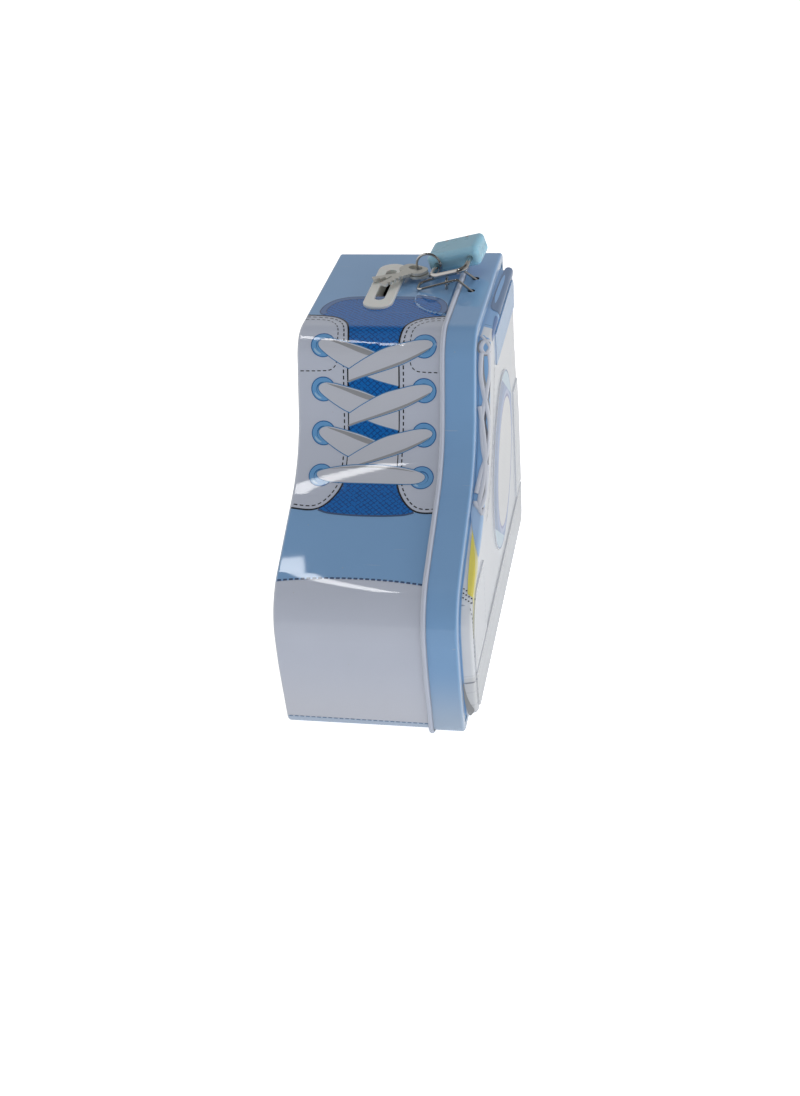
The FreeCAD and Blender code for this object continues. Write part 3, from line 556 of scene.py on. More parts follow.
@dataclass(frozen=True)
class Badge:
    """An oval badge with rings that lie off its middle, pale ends and a ribbed centre.

    Rings, ends and centre are measured in shares of the oval's half length and half width.
    """

    y: float = 108.0
    z: float = 72.0
    length: float = 80.0
    width: float = 60.0
    lean: float = math.radians(54.0)
    shift: float = 0.22
    rings: tuple[tuple[float, Ink], ...] = (
        (0.93, Ink.BADGE_BLUE),
        (0.82, Ink.BADGE_LILAC),
        (0.77, Ink.BADGE_VIOLET),
    )
    ring_soft: float = 0.03
    edge: float = 0.985
    ends_from: float = 0.80
    centre: float = 0.735
    soft: float = 0.02
    rib: float = 2.3
    rib_rise: Span = (0.05, 0.25)
    rib_fall: Span = (0.6, 0.4)
    rib_shown: float = 0.20

    def outside(self, tree: Tree, spot: Parts, ground: Socket) -> Socket:
        """Adds the badge.

        Args:
            tree: Where nodes are added.
            spot: Where a point is, as for any print.
            ground: The colour round the badge.

        Returns:
            The colour.
        """
        dy = tree.maths("SUBTRACT", spot.y, self.y)
        dz = tree.maths("SUBTRACT", spot.z, self.z)
        cos, sin = 2 * math.cos(self.lean), 2 * math.sin(self.lean)
        u = tree.maths("MULTIPLY_ADD", dy, cos / self.length, tree.maths("MULTIPLY", dz, sin / self.length))
        v = tree.maths("MULTIPLY_ADD", dy, -sin / self.width, tree.maths("MULTIPLY", dz, cos / self.width))
        oval, ring = (
            tree.maths("SQRT", tree.maths("MULTIPLY_ADD", u, u, tree.maths("MULTIPLY", w, w)))
            for w in (v, tree.maths("ADD", v, self.shift))
        )
        along = tree.maths("ABSOLUTE", u)
        colour = tree.mix(tree.step(oval, 1.0, self.edge), ground, Ink.BADGE)
        for size, ink in self.rings:
            colour = tree.mix(tree.step(ring, size, size - self.ring_soft), colour, ink)
        ends = tree.step(along, self.ends_from, self.ends_from + self.soft)
        ends = tree.both(ends, tree.step(oval, self.edge, self.edge - self.soft))
        colour = tree.mix(ends, colour, Ink.PALE)
        wave = tree.maths("FRACT", tree.maths("DIVIDE", spot.z, self.rib))
        rib = tree.both(tree.step(wave, *self.rib_rise), tree.step(wave, *self.rib_fall))
        ribbed = tree.mix(rib, Ink.RIB, Ink.GREY, self.rib_shown)
        centre = tree.step(ring, self.centre, self.centre - self.soft)
        centre = tree.both(centre, tree.step(along, self.ends_from, self.ends_from - self.soft))
        return tree.mix(centre, colour, ribbed)


@dataclass(frozen=True)
class StitchRow:
    """A straight row of stitches: a level one is at a height, an upright one at a distance from the toe."""

    level: bool
    at: float
    low: float
    high: float


@dataclass(frozen=True)
class SidePaint(Printed):
    """A side of the shoe: border, white quarters, grey sole lines, collar, stitches and badge.

    Its outside faces the lid's way if outward is 1, and the other way if it is -1.
    """

    outward: float = 1.0
    bare_from: float = -0.25
    border_to: float = 35.3
    border_soft: float = 0.2
    sole: float = 27.0
    sole_soft: float = 0.4
    sole_lines: tuple[float, ...] = (12.0, 19.0, 27.9)
    sole_line: Span = (0.5, 0.2)
    sole_line_shown: float = 0.16
    collar: Point = (101.0, 121.0)
    collar_soft: float = 0.5
    rows: tuple[StitchRow, ...] = (
        StitchRow(True, 24.4, 2.0, 174.0),
        StitchRow(True, 123.4, 103.4, 170.0),
        StitchRow(False, 103.4, 123.4, 140.0),
        StitchRow(False, 152.2, 31.0, 81.8),
        StitchRow(True, 81.8, 152.2, 176.0),
        StitchRow(False, 37.8, 31.0, 59.8),
        StitchRow(True, 59.8, 0.0, 37.8),
    )
    stitch: float = 2.7
    thread: Span = (0.32, 0.10)
    thread_to: Span = (0.66, 0.60)
    thread_shown: float = 0.5
    row_soft: float = 0.1
    badge: Badge = Badge()

    def bare(self, tree: Tree, place: Node, wear: Wear) -> Socket:
        """Adds the mask of the side's inner face and returns it."""
        facing = tree.maths("MULTIPLY", tree.split(place.outputs["Normal"]).x, self.outward)
        return tree.maths("LESS_THAN", facing, self.bare_from)

    def stitches(self, tree: Tree, spot: Parts, row: StitchRow) -> Socket:
        """Adds a row of stitches.

        Args:
            tree: Where nodes are added.
            spot: Where a point is, as for any print.
            row: Where the stitches are.

        Returns:
            The mask.
        """
        across, along = (spot.z, spot.y) if row.level else (spot.y, spot.z)
        beat = tree.maths("FRACT", tree.maths("DIVIDE", along, self.stitch))
        return tree.both(
            tree.line(across, row.at, *self.thread),
            tree.step(beat, *self.thread_to),
            tree.step(along, row.low - self.row_soft, row.low),
            tree.step(along, row.high + self.row_soft, row.high),
        )

    def outside(self, tree: Tree, spot: Parts) -> Socket:
        """Adds the side's zones.

        Args:
            tree: Where nodes are added.
            spot: Where a point is, as for any print.

        Returns:
            The colour.
        """
        sole = tree.below(spot.z, self.sole, self.sole_soft)
        colour = tree.mix(sole, Ink.QUARTER, Ink.SOLE_BAND)
        for height in self.sole_lines:
            line = tree.line(spot.z, height, *self.sole_line)
            colour = tree.mix(line, colour, Ink.GREY, self.sole_line_shown)
        ways = zip((spot.y, spot.z), self.collar)
        collar = tree.both(*(tree.above(way, limit, self.collar_soft) for way, limit in ways))
        colour = tree.mix(collar, colour, Ink.SKY)
        for row in self.rows:
            colour = tree.mix(self.stitches(tree, spot, row), colour, Ink.SEAM, self.thread_shown)
        colour = self.badge.outside(tree, spot, colour)
        height = tree.maths("MULTIPLY", spot.x, self.outward)
        return tree.mix(tree.below(height, self.border_to, self.border_soft), colour, Ink.SKY)


@dataclass(frozen=True)
class MeshPaint:
    """The tongue's knitted mesh: blue, with darker lines both ways on the slant."""

    pitch: float = 2.3
    slant: float = 0.88
    line: float = 0.15
    line_soft: float = 0.09
    wobble: float = 0.35
    wobble_scale: float = 500.0
    patch_scale: float = 900.0
    patch_from: Span = (0.30, 0.55)

    def bare(self, tree: Tree, place: Node, wear: Wear) -> None:
        """No part of it is bare."""

    def mix(self, tree: Tree, place: Node, wear: Wear) -> Socket:
        """Adds the mesh, which reads the print's own map.

        Args:
            tree: Where nodes are added.
            place: The texture coordinates.
            wear: The shared node groups; not used.

        Returns:
            The colour.
        """
        part = tree.split(place.outputs["UV"])
        across = tree.maths("MULTIPLY", part.x, UV_SPAN)
        wobble = tree.maths("MULTIPLY", tree.noise(place.outputs["Object"], self.wobble_scale), self.wobble)
        along = tree.maths("MULTIPLY_ADD", part.y, UV_SPAN, wobble)
        lines = []
        for slant in (self.slant, -self.slant):
            way = tree.maths("MULTIPLY_ADD", across, slant, along)
            wave = tree.maths("FRACT", tree.maths("DIVIDE", way, self.pitch))
            lines.append(tree.line(wave, 0.5, self.line, self.line_soft))
        patch = tree.step(tree.noise(place.outputs["Object"], self.patch_scale), *self.patch_from)
        net = tree.both(tree.maths("MAXIMUM", *lines), patch)
        return tree.mix(net, Ink.MESH, Ink.MESH_LINE)


@dataclass(frozen=True)
class Corner:
    """A corner of the shoe's outline, and the radius that rounds it."""

    y: float
    z: float
    radius: float


@dataclass(frozen=True)
class Bend:
    """One rounded corner: where it starts along the outline, its line in and its arc."""

    start: float
    enter: Vector
    centre: Vector
    turn: float
    radius: float
    leave: Vector
    heading: Vector

    def length(self) -> float:
        """The arc's length."""
        return abs(self.turn) * self.radius


@dataclass
class Outline:
    """The outline that the wall and the lid follow, from the toe of the sole up and round."""

    corners: tuple[Corner, ...] = (
        Corner(4.0, 0.0, 5.0),
        Corner(0.0, 33.0, 100.0),
        Corner(0.0, 62.3, 25.0),
        Corner(65.5, 93.9, 45.0),
        Corner(81.9, 143.1, 13.0),
        Corner(172.6, 143.1, 3.0),
        Corner(170.5, 108.0, 60.0),
        Corner(176.0, 66.0, 40.0),
        Corner(176.0, 26.0, 40.0),
        Corner(172.5, 0.0, 7.0),
    )
    bends: list[Bend] = field(init=False)

    def __post_init__(self) -> None:
        """Works out every rounded corner once."""
        places = [Vector((c.y, c.z)) for c in self.corners]
        self.bends = []
        start = 0.0
        for i, corner in enumerate(self.corners):
            before = (places[i] - places[i - 1]).normalized()
            after = (places[(i + 1) % len(places)] - places[i]).normalized()
            turn = math.atan2(before.x * after.y - before.y * after.x, before.dot(after))
            run = corner.radius * math.tan(abs(turn) / 2)
            enter = places[i] - before * run
            side = Vector((-before.y, before.x)) * math.copysign(1.0, turn)
            if self.bends:
                start += (enter - self.bends[-1].leave).length
            centre, leave = enter + side * corner.radius, places[i] + after * run
            bend = Bend(start, enter, centre, turn, corner.radius, leave, after)
            self.bends.append(bend)
            start += bend.length()

    def at(self, s: float) -> tuple[Vector, Vector]:
        """A point of the outline.

        Args:
            s: How far along it is.

        Returns:
            The point and the normal that points out of the shoe, each as (y, z).
        """
        bend = [b for b in self.bends if b.start <= max(s, 0.0)][-1]
        run = s - bend.start
        if run < bend.length():
            turned = Matrix.Rotation(math.copysign(run / bend.radius, bend.turn), 2)
            spoke = turned @ (bend.enter - bend.centre)
            return bend.centre + spoke, spoke.normalized() * -math.copysign(1.0, bend.turn)
        heading = bend.heading
        return bend.leave + heading * (run - bend.length()), Vector((-heading.y, heading.x))


class Surface(Protocol):
    """Where a strip of print lies."""

    def point(self, across: float, s: float, lift: float) -> Vector:
        """A point of the strip, in metres."""


@dataclass
class WallStrip:
    """The wall, with the round boss on its top."""

    outline: Outline
    boss_x: float = 22.7
    boss_y: float = 120.5
    boss_radius: float = 19.3
    boss_rise: float = 0.7
    boss_edge: float = 0.35

    def point(self, across: float, s: float, lift: float) -> Vector:
        """A point of the wall's print.

        Args:
            across: How far it is from the wall's back edge.
            s: How far along the outline it is.
            lift: How far it stands off the wall.

        Returns:
            The point, in metres.
        """
        place, normal = self.outline.at(s)
        x = BACK_X + across
        if normal.y > 0.99:
            away = math.hypot(x - self.boss_x, place.x - self.boss_y)
            inside = self.boss_radius + self.boss_edge - away
            share = min(max(inside / (2 * self.boss_edge), 0.0), 1.0)
            lift += self.boss_rise * share * share * (3 - 2 * share)
        place = place + normal * lift
        return Vector((x, place.x + TOE_Y, place.y + SOLE_Z)) * MM


@dataclass
class LidRim:
    """The lid's face from its flat border up the drafted side and on to the raised field."""

    outline: Outline
    border_x: float = 34.7
    inset: float = 4.2
    draft: float = 1.6
    rise: float = 5.0
    rounding: float = 2.0

    def section(self, across: float) -> tuple[float, float, Vector]:
        """A point of the rim's section.

        Args:
            across: How far it is from the foot of the drafted side.

        Returns:
            Its inset, its x and the section's normal there as (outward, x).
        """
        slope = Vector((self.draft, self.rise)).normalized()
        turn = math.acos(slope.x)
        run = self.rounding * math.tan(turn / 2)
        straight = math.hypot(self.draft, self.rise) - run
        if across <= 0:
            return self.inset + across, self.border_x, Vector((0.0, 1.0))
        if across <= straight:
            x = self.border_x + slope.y * across
            return self.inset + slope.x * across, x, Vector((slope.y, slope.x))
        angle = min((across - straight) / self.rounding, turn)
        tilt = math.asin(slope.x) + angle
        middle = Vector((self.inset + self.draft + run, self.border_x + self.rise - self.rounding))
        over = max(across - straight - turn * self.rounding, 0.0)
        out = Vector((math.cos(tilt), math.sin(tilt)))
        return middle.x - out.x * self.rounding + over, middle.y + out.y * self.rounding, out

    def point(self, across: float, s: float, lift: float) -> Vector:
        """A point of the rim's print.

        Args:
            across: How far it is from the foot of the drafted side.
            s: How far along the outline it is.
            lift: How far it stands off the lid.

        Returns:
            The point, in metres.
        """
        inset, x, out = self.section(across)
        place, normal = self.outline.at(s)
        place = place + normal * (out.x * lift - inset)
        return Vector((x + out.y * lift, place.x + TOE_Y, place.y + SOLE_Z)) * MM


def smooth(points: list[Point], closed: bool = False, steps: int = 6) -> list[Point]:
    """A smooth curve through points.

    Args:
        points: What it passes through.
        closed: Whether its end joins its start.
        steps: How many pieces each span is cut into.

    Returns:
        The curve's points.
    """
    count = len(points)
    found = []
    for i in range(count if closed else count - 1):
        around = range(i - 1, i + 3)
        picks = [k % count if closed else min(max(k, 0), count - 1) for k in around]
        a, b, c, d = (Vector(points[k]) for k in picks)
        for k in range(steps):
            t = k / steps
            spot = 2 * b + (c - a) * t + (2 * a - 5 * b + 4 * c - d) * t**2
            spot += (3 * b - a - 3 * c + d) * t**3
            found.append(tuple(spot / 2))
    return found if closed else found + [points[-1]]


def offset(path: list[Point], distance: float) -> list[Point]:
    """A path beside another.

    Args:
        path: The path.
        distance: How far to its left the new one runs.

    Returns:
        The new path.
    """
    found = []
    for i, at in enumerate(path):
        way = Vector(path[min(i + 1, len(path) - 1)]) - Vector(path[max(i - 1, 0)])
        way.normalize()
        found.append((at[0] - way.y * distance, at[1] + way.x * distance))
    return found


def even(path: list[Point], pitch: float) -> list[Point]:
    """A path's points at even spaces.

    Args:
        path: The path.
        pitch: The most that two points are apart.

    Returns:
        The points.
    """
    lengths = [0.0]
    for a, b in zip(path, path[1:]):
        lengths.append(lengths[-1] + math.dist(a, b))
    count = max(math.ceil(lengths[-1] / pitch), 1)
    found = []
    i = 0
    for k in range(count + 1):
        want = lengths[-1] * k / count
        while i < len(path) - 2 and lengths[i + 1] < want:
            i += 1
        share = (want - lengths[i]) / max(lengths[i + 1] - lengths[i], 1e-9)
        found.append(tuple(Vector(path[i]).lerp(Vector(path[i + 1]), min(share, 1.0))))
    return found


def mirrored(points: list[Point], middle: float) -> list[Point]:
    """Points on the other side of a middle line, in the same order."""
    return [(2 * middle - x, s) for x, s in points]


class Print:
    """One piece of print: shapes drawn flat, each with a lift, then laid on a surface."""

    def __init__(self, name: str, inks: dict[str, Material]) -> None:
        """Starts with no shapes.

        Args:
            name: The piece's name.
            inks: The material of each ink that it uses.
        """
        self.name = name
        self.inks = inks
        self.names = list(inks)
        self.mesh = bmesh.new()

    def fill(self, points: list[Point], ink: str, lift: float = PRINT_LIFT) -> None:
        """Draws a filled shape.

        Args:
            points: Its edge.
            ink: Its ink.
            lift: How far it stands off the surface.
        """
        area = sum(a[0] * b[1] - b[0] * a[1] for a, b in zip(points, points[1:] + points[:1]))
        ring = points if area > 0 else points[::-1]
        face = self.mesh.faces.new([self.mesh.verts.new((x, s, lift)) for x, s in ring])
        face.normal_update()
        face.material_index = self.names.index(ink)

    def disc(self, centre: Point, radius: float, ink: str, lift: float = PRINT_LIFT) -> None:
        """Draws a disc.

        Args:
            centre: Its middle.
            radius: Its radius.
            ink: Its ink.
            lift: How far it stands off the surface.
        """
        shape = {"segments": DISC_SEGMENTS, "radius": radius, "matrix": Matrix.Translation((*centre, lift))}
        made = bmesh.ops.create_circle(self.mesh, cap_ends=True, **shape)
        made["verts"][0].link_faces[0].material_index = self.names.index(ink)

    def stroke(
        self,
        path: list[Point],
        width: float,
        ink: str,
        lift: float = PRINT_LIFT,
        crown: float = 0.0,
        taper: bool = False,
    ) -> None:
        """Draws a line, which may stand up in a rounded ridge.

        Args:
            path: Its middle.
            width: How wide it is.
            ink: Its ink.
            lift: How far its edges stand off the surface.
            crown: How much further its middle does.
            taper: Whether its ends run out to points.
        """
        path = even(path, PRINT_STEP)
        last = len(path) - 1
        made = bmesh.ops.create_grid(self.mesh, x_segments=last, y_segments=6 if crown else 1, size=0.5)
        for vert in made["verts"]:
            i = round((vert.co.x + 0.5) * last)
            share = 2 * vert.co.y
            way = (Vector(path[min(i + 1, last)]) - Vector(path[max(i - 1, 0)])).normalized()
            end = math.sqrt(min(i, last - i) / max(last * 0.25, 1.0)) if taper else 1.0
            side = max(width / 2 * min(end, 1.0), 0.05) * share
            rise = lift + crown * math.sqrt(max(1 - share * share, 0.0))
            vert.co = (path[i][0] - way.y * side, path[i][1] + way.x * side, rise)
        for face in {face for vert in made["verts"] for face in vert.link_faces}:
            face.material_index = self.names.index(ink)
            face.smooth = bool(crown)

    def dashes(
        self, path: list[Point], width: float, dash: float, gap: float, ink: str, lift: float = PRINT_LIFT
    ) -> None:
        """Draws stitches along a path.

        Args:
            path: Where they lie.
            width: How wide each stitch is.
            dash: How long each stitch is.
            gap: How far apart they are.
            ink: Their ink.
            lift: How far they stand off the surface.
        """
        points = even(path, STITCH_GRAIN)
        long, apart = (max(round(length / STITCH_GRAIN), 1) for length in (dash, gap))
        for i in range(0, len(points) - long, long + apart):
            self.stroke(points[i : i + long + 1], width, ink, lift)

    @staticmethod
    def crosses(face: bmesh.types.BMFace, axis: int, level: float) -> bool:
        """Whether a face has a part on each side of a level along an axis."""
        values = [vert.co[axis] for vert in face.verts]
        return min(values) < level < max(values)

    def lay(self, surface: Surface, body: str, across: float = 0.0) -> Object:
        """Bends the shapes on to a surface.

        Args:
            surface: Where the print lies.
            body: The body that it moves with.
            across: How wide a piece may be before it bends, or 0 for no cuts that way.

        Returns:
            The piece.
        """
        bmesh.ops.triangulate(self.mesh, faces=[f for f in self.mesh.faces if len(f.verts) > 4])
        for axis, pitch in ((1, PRINT_STEP), (0, across)):
            if not pitch:
                continue
            values = [v.co[axis] for v in self.mesh.verts]
            normal = Vector((axis == 0, axis == 1, 0))
            for k in range(math.ceil(min(values) / pitch), math.floor(max(values) / pitch) + 1):
                near = [f for f in self.mesh.faces if self.crosses(f, axis, k * pitch)]
                cut = [*{*near, *(e for f in near for e in f.edges), *(v for f in near for v in f.verts)}]
                plane = {"plane_co": normal * k * pitch, "plane_no": normal, "dist": CUT_MERGE}
                bmesh.ops.bisect_plane(self.mesh, geom=cut, **plane)
        layer = self.mesh.loops.layers.uv.new("print")
        self.mesh.normal_update()
        for face in self.mesh.faces:
            if face.normal.z < 0:
                face.normal_flip()
            for loop in face.loops:
                loop[layer].uv = (loop.vert.co.x / UV_SPAN, loop.vert.co.y / UV_SPAN)
        for vert in self.mesh.verts:
            vert.co = surface.point(*vert.co)
        return make_piece(self.name, self.mesh, list(self.inks.values()), body)


def make_piece(
    name: str, mesh: bmesh.types.BMesh, finishes: list[Material], body: str
) -> Object:
    """Turns a mesh into a piece that moves with a body.

    Args:
        name: The piece's name.
        mesh: Its shape, which is used up.
        finishes: Its materials.
        body: The body that it moves with.

    Returns:
        The piece.
    """
    data = bpy.data.meshes.new(name)
    mesh.to_mesh(data)
    mesh.free()
    for material in finishes:
        data.materials.append(material)
    piece = bpy.data.objects.new(name, data)
    bpy.context.scene.collection.objects.link(piece)
    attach(piece, body)
    LOG.info("%s: %d faces on %s", name, len(data.polygons), body)
    return piece


@dataclass
class Inks:
    """The materials of the print."""

    wear: Wear
    made: dict[str, Material] = field(default_factory=dict)

    def get(self, *names: str) -> dict[str, Material]:
        """Finds inks, and makes those that are new.

        Args:
            names: The inks' names.

        Returns:
            The material of each.
        """
        for name in names:
            if name not in self.made:
                paint = MeshPaint() if name == "MESH" else Ink[name].value
                self.made[name] = TIN.material(f"ink_{name.lower()}", self.wear, paint)
        return {name: self.made[name] for name in names}


@dataclass
class ShoeFront:
    """The print on the wall: tongue, eyestays, stitches, eyelets and laces."""

    inks: Inks
    outline: Outline
    middle: float = 32.4
    right_end: float = 60.7
    left_end: float = 0.9
    rows: tuple[float, ...] = (180.0, 161.6, 143.2, 125.0)
    eyelet_out: float = 21.25
    eyelet_radius: float = 5.2

    def edge(self) -> list[Point]:
        """The left eyestay's edge, from its top round to its bottom.

        Returns:
            The edge.
        """
        top = [(self.left_end, 200.6), (5.0, 200.5), (9.6, 199.9)]
        turn = [(14.4, 198.2), (18.2, 194.6), (20.4, 189.9), (21.4, 184.6), (21.7, 180.0)]
        side = [(21.7, 165.0), (21.8, 150.0), (21.9, 135.0), (21.6, 126.0), (20.8, 121.0)]
        foot = [(18.6, 115.8), (15.2, 111.2), (11.6, 108.8), (7.4, 108.2), (self.left_end, 108.9)]
        return smooth(top + turn + side + foot)

    def other(self, path: list[Point]) -> list[Point]:
        """A left path on the right, which ends at the lid's bead."""
        return [(min(x, self.right_end), s) for x, s in mirrored(path, self.middle)]

    def tongue(self) -> Object:
        """The knitted tongue, its rim and its lower edge.

        Returns:
            The piece.
        """
        piece = Print("tongue_print", self.inks.get("MESH", "TONGUE_RIM", "SEAM"))
        left = [p for p in self.edge() if p[0] > (8.8 if p[1] > 150.0 else 12.3)]
        crown = [(8.2, 200.2), (5.6, 203.2), (5.3, 207.0), (6.4, 212.0), (9.4, 216.8), (14.0, 219.6)]
        crown = smooth(crown + [(20.0, 220.6), (32.4, 220.9)])
        below = smooth([(12.4, 108.4), (15.6, 107.2), (20.0, 106.6), (26.0, 106.2), (32.4, 106.1)])
        half = crown[::-1] + left + below
        whole = half + mirrored(half, self.middle)[-2:0:-1]
        piece.fill([(min(x, self.right_end), s) for x, s in whole], "MESH", lift=0.07)
        rim = [p for p in crown if p[1] > 201.0]
        rim = rim + mirrored(rim, self.middle)[::-1]
        rim = [p for p in rim if p[0] < self.right_end]
        piece.stroke(offset(rim, -1.3), 2.2, "TONGUE_RIM", lift=0.09)
        piece.stroke(rim, 0.45, "SEAM", lift=0.11)
        piece.stroke(offset(rim, -2.5), 0.35, "SEAM", lift=0.11)
        low = below + mirrored(below, self.middle)[::-1]
        piece.stroke(low, 0.8, "SEAM")
        return piece.lay(WallStrip(self.outline), "tin_body", across=1.4)

    def lines(self) -> Object:
        """The eyestays' edges, their stitches, and the seams of the vamp and sole.

        Returns:
            The piece.
        """
        piece = Print("stitch_print", self.inks.get("LINE", "SEAM", "SOLE_SEAM"))
        edge = self.edge()
        inner = [(self.left_end, 196.2), (7.6, 196.0), (11.2, 195.0), (14.2, 192.4), (16.2, 188.6)]
        inner += [(17.0, 184.0), (17.0, 176.0), (16.6, 172.0), (14.6, 169.8), (11.0, 169.2)]
        inner += [(self.left_end, 169.0)]
        for side in (list, self.other):
            piece.stroke(side(edge), 0.75, "LINE")
            piece.dashes(side(offset(edge, -1.9)), 0.5, 1.6, 1.0, "LINE")
            piece.dashes(side(smooth(inner)), 0.38, 1.4, 1.0, "LINE")
        seam = [(x, 76.0 - VAMP_BOW * (x - self.middle) ** 2) for x in range(1, 61)]
        piece.dashes(seam, 0.8, 1.7, 0.8, "SEAM")
        piece.dashes([(1.2, 7.9), (30.0, 7.7), (60.4, 7.5)], 0.45, 1.7, 0.9, "SOLE_SEAM")
        return piece.lay(WallStrip(self.outline), "tin_body")

    def eyelets(self) -> Object:
        """Four rows of ring eyelets.

        Returns:
            The piece.
        """
        piece = Print("eyelet_print", self.inks.get("RING_EDGE", "RING", "GLINT"))
        for row in self.rows:
            for side in (-1, 1):
                centre = (self.middle + side * self.eyelet_out, row)
                piece.disc(centre, self.eyelet_radius, "RING_EDGE", lift=0.11)
                piece.disc(centre, self.eyelet_radius - 0.42, "RING", lift=0.12)
                piece.disc(centre, self.eyelet_radius - 2.2, "RING_EDGE", lift=0.13)
                piece.disc((centre[0], centre[1] - 0.25), self.eyelet_radius - 2.5, "RING", lift=0.14)
                turns = [math.radians(a) for a in range(200, 262, 6)]
                reach = self.eyelet_radius - 1.25
                arc = [(centre[0] + reach * math.cos(t), centre[1] + reach * math.sin(t)) for t in turns]
                piece.stroke(arc, 0.85, "GLINT", lift=0.15, taper=True)
        return piece.lay(WallStrip(self.outline), "tin_body")

    def laces(self) -> Object:
        """Three crossings, the right lace over the left, and a straight bar below.

        Returns:
            The piece.
        """
        piece = Print("lace_print", self.inks.get("LACE", "LACE_SHADE", "LACE_EDGE"))
        under = [(42.9, -6.5), (38.0, -4.7), (33.3, -2.7), (27.0, -0.3), (19.0, 1.8), (13.5, 2.9), (10.6, 2.5)]
        under += [(9.0, 0.9), (9.6, -1.2), (12.9, -4.1), (17.4, -7.2), (22.3, -9.8)]
        under += [(33.0, -14.2), (42.9, -16.8)]
        over = [(21.9, -9.9), (27.5, -6.2), (33.3, -2.9), (38.0, -0.8), (43.3, 0.7), (50.0, 2.3), (54.6, 2.6)]
        over += [(57.0, 1.6), (57.2, 0.1), (55.6, -1.6), (51.6, -4.1), (44.0, -7.9), (33.0, -11.7)]
        over += [(27.0, -13.6), (21.9, -15.6)]
        under_shade = [(12.5, 2.4), (19.0, 1.2), (27.0, -1.0), (33.0, -3.2), (30.6, -4.2), (25.5, -2.6)]
        under_shade += [(19.5, -0.2)]
        over_shade = [(56.4, -0.6), (50.0, -3.8), (44.0, -6.5), (33.0, -10.6), (22.4, -14.4)]
        over_shade += [(22.2, -15.2), (33.0, -11.5), (44.0, -7.6), (52.0, -3.7)]
        bar = [(9.2, 0.4), (10.6, 2.2), (17.6, 4.0), (25.0, 5.0), (33.6, 5.3), (42.0, 4.8), (49.0, 3.7)]
        bar += [(54.0, 2.0), (55.3, 0.2), (53.9, -1.9), (49.0, -3.1), (33.6, -3.2), (18.0, -3.1), (11.4, -1.9)]
        bar_shade = [(14.0, 2.9), (24.0, 4.2), (33.6, 4.5), (43.0, 4.0), (51.0, 2.5), (43.0, 3.4)]
        bar_shade += [(33.6, 3.9), (24.0, 3.7)]
        for row in self.rows[:3]:
            for lift, shape, shade in ((0.15, under, under_shade), (0.18, over, over_shade)):
                path = smooth([(x, row + s) for x, s in shape])
                piece.fill(path, "LACE", lift)
                piece.fill(smooth([(x, row + s) for x, s in shade], True, 3), "LACE_SHADE", lift + 0.01)
                piece.stroke(path, 0.36, "LACE_EDGE", lift + 0.02)
        path = smooth([(x, self.rows[3] + s) for x, s in bar], True)
        piece.fill(path, "LACE", lift=0.21)
        piece.fill(smooth([(x, self.rows[3] + s) for x, s in bar_shade], True, 3), "LACE_SHADE", lift=0.22)
        piece.stroke(path + path[:1], 0.36, "LACE_EDGE", lift=0.23)
        return piece.lay(WallStrip(self.outline), "tin_body")

    def build(self) -> list[Object]:
        """Lays all of the wall's print."""
        return [self.tongue(), self.lines(), self.eyelets(), self.laces()]


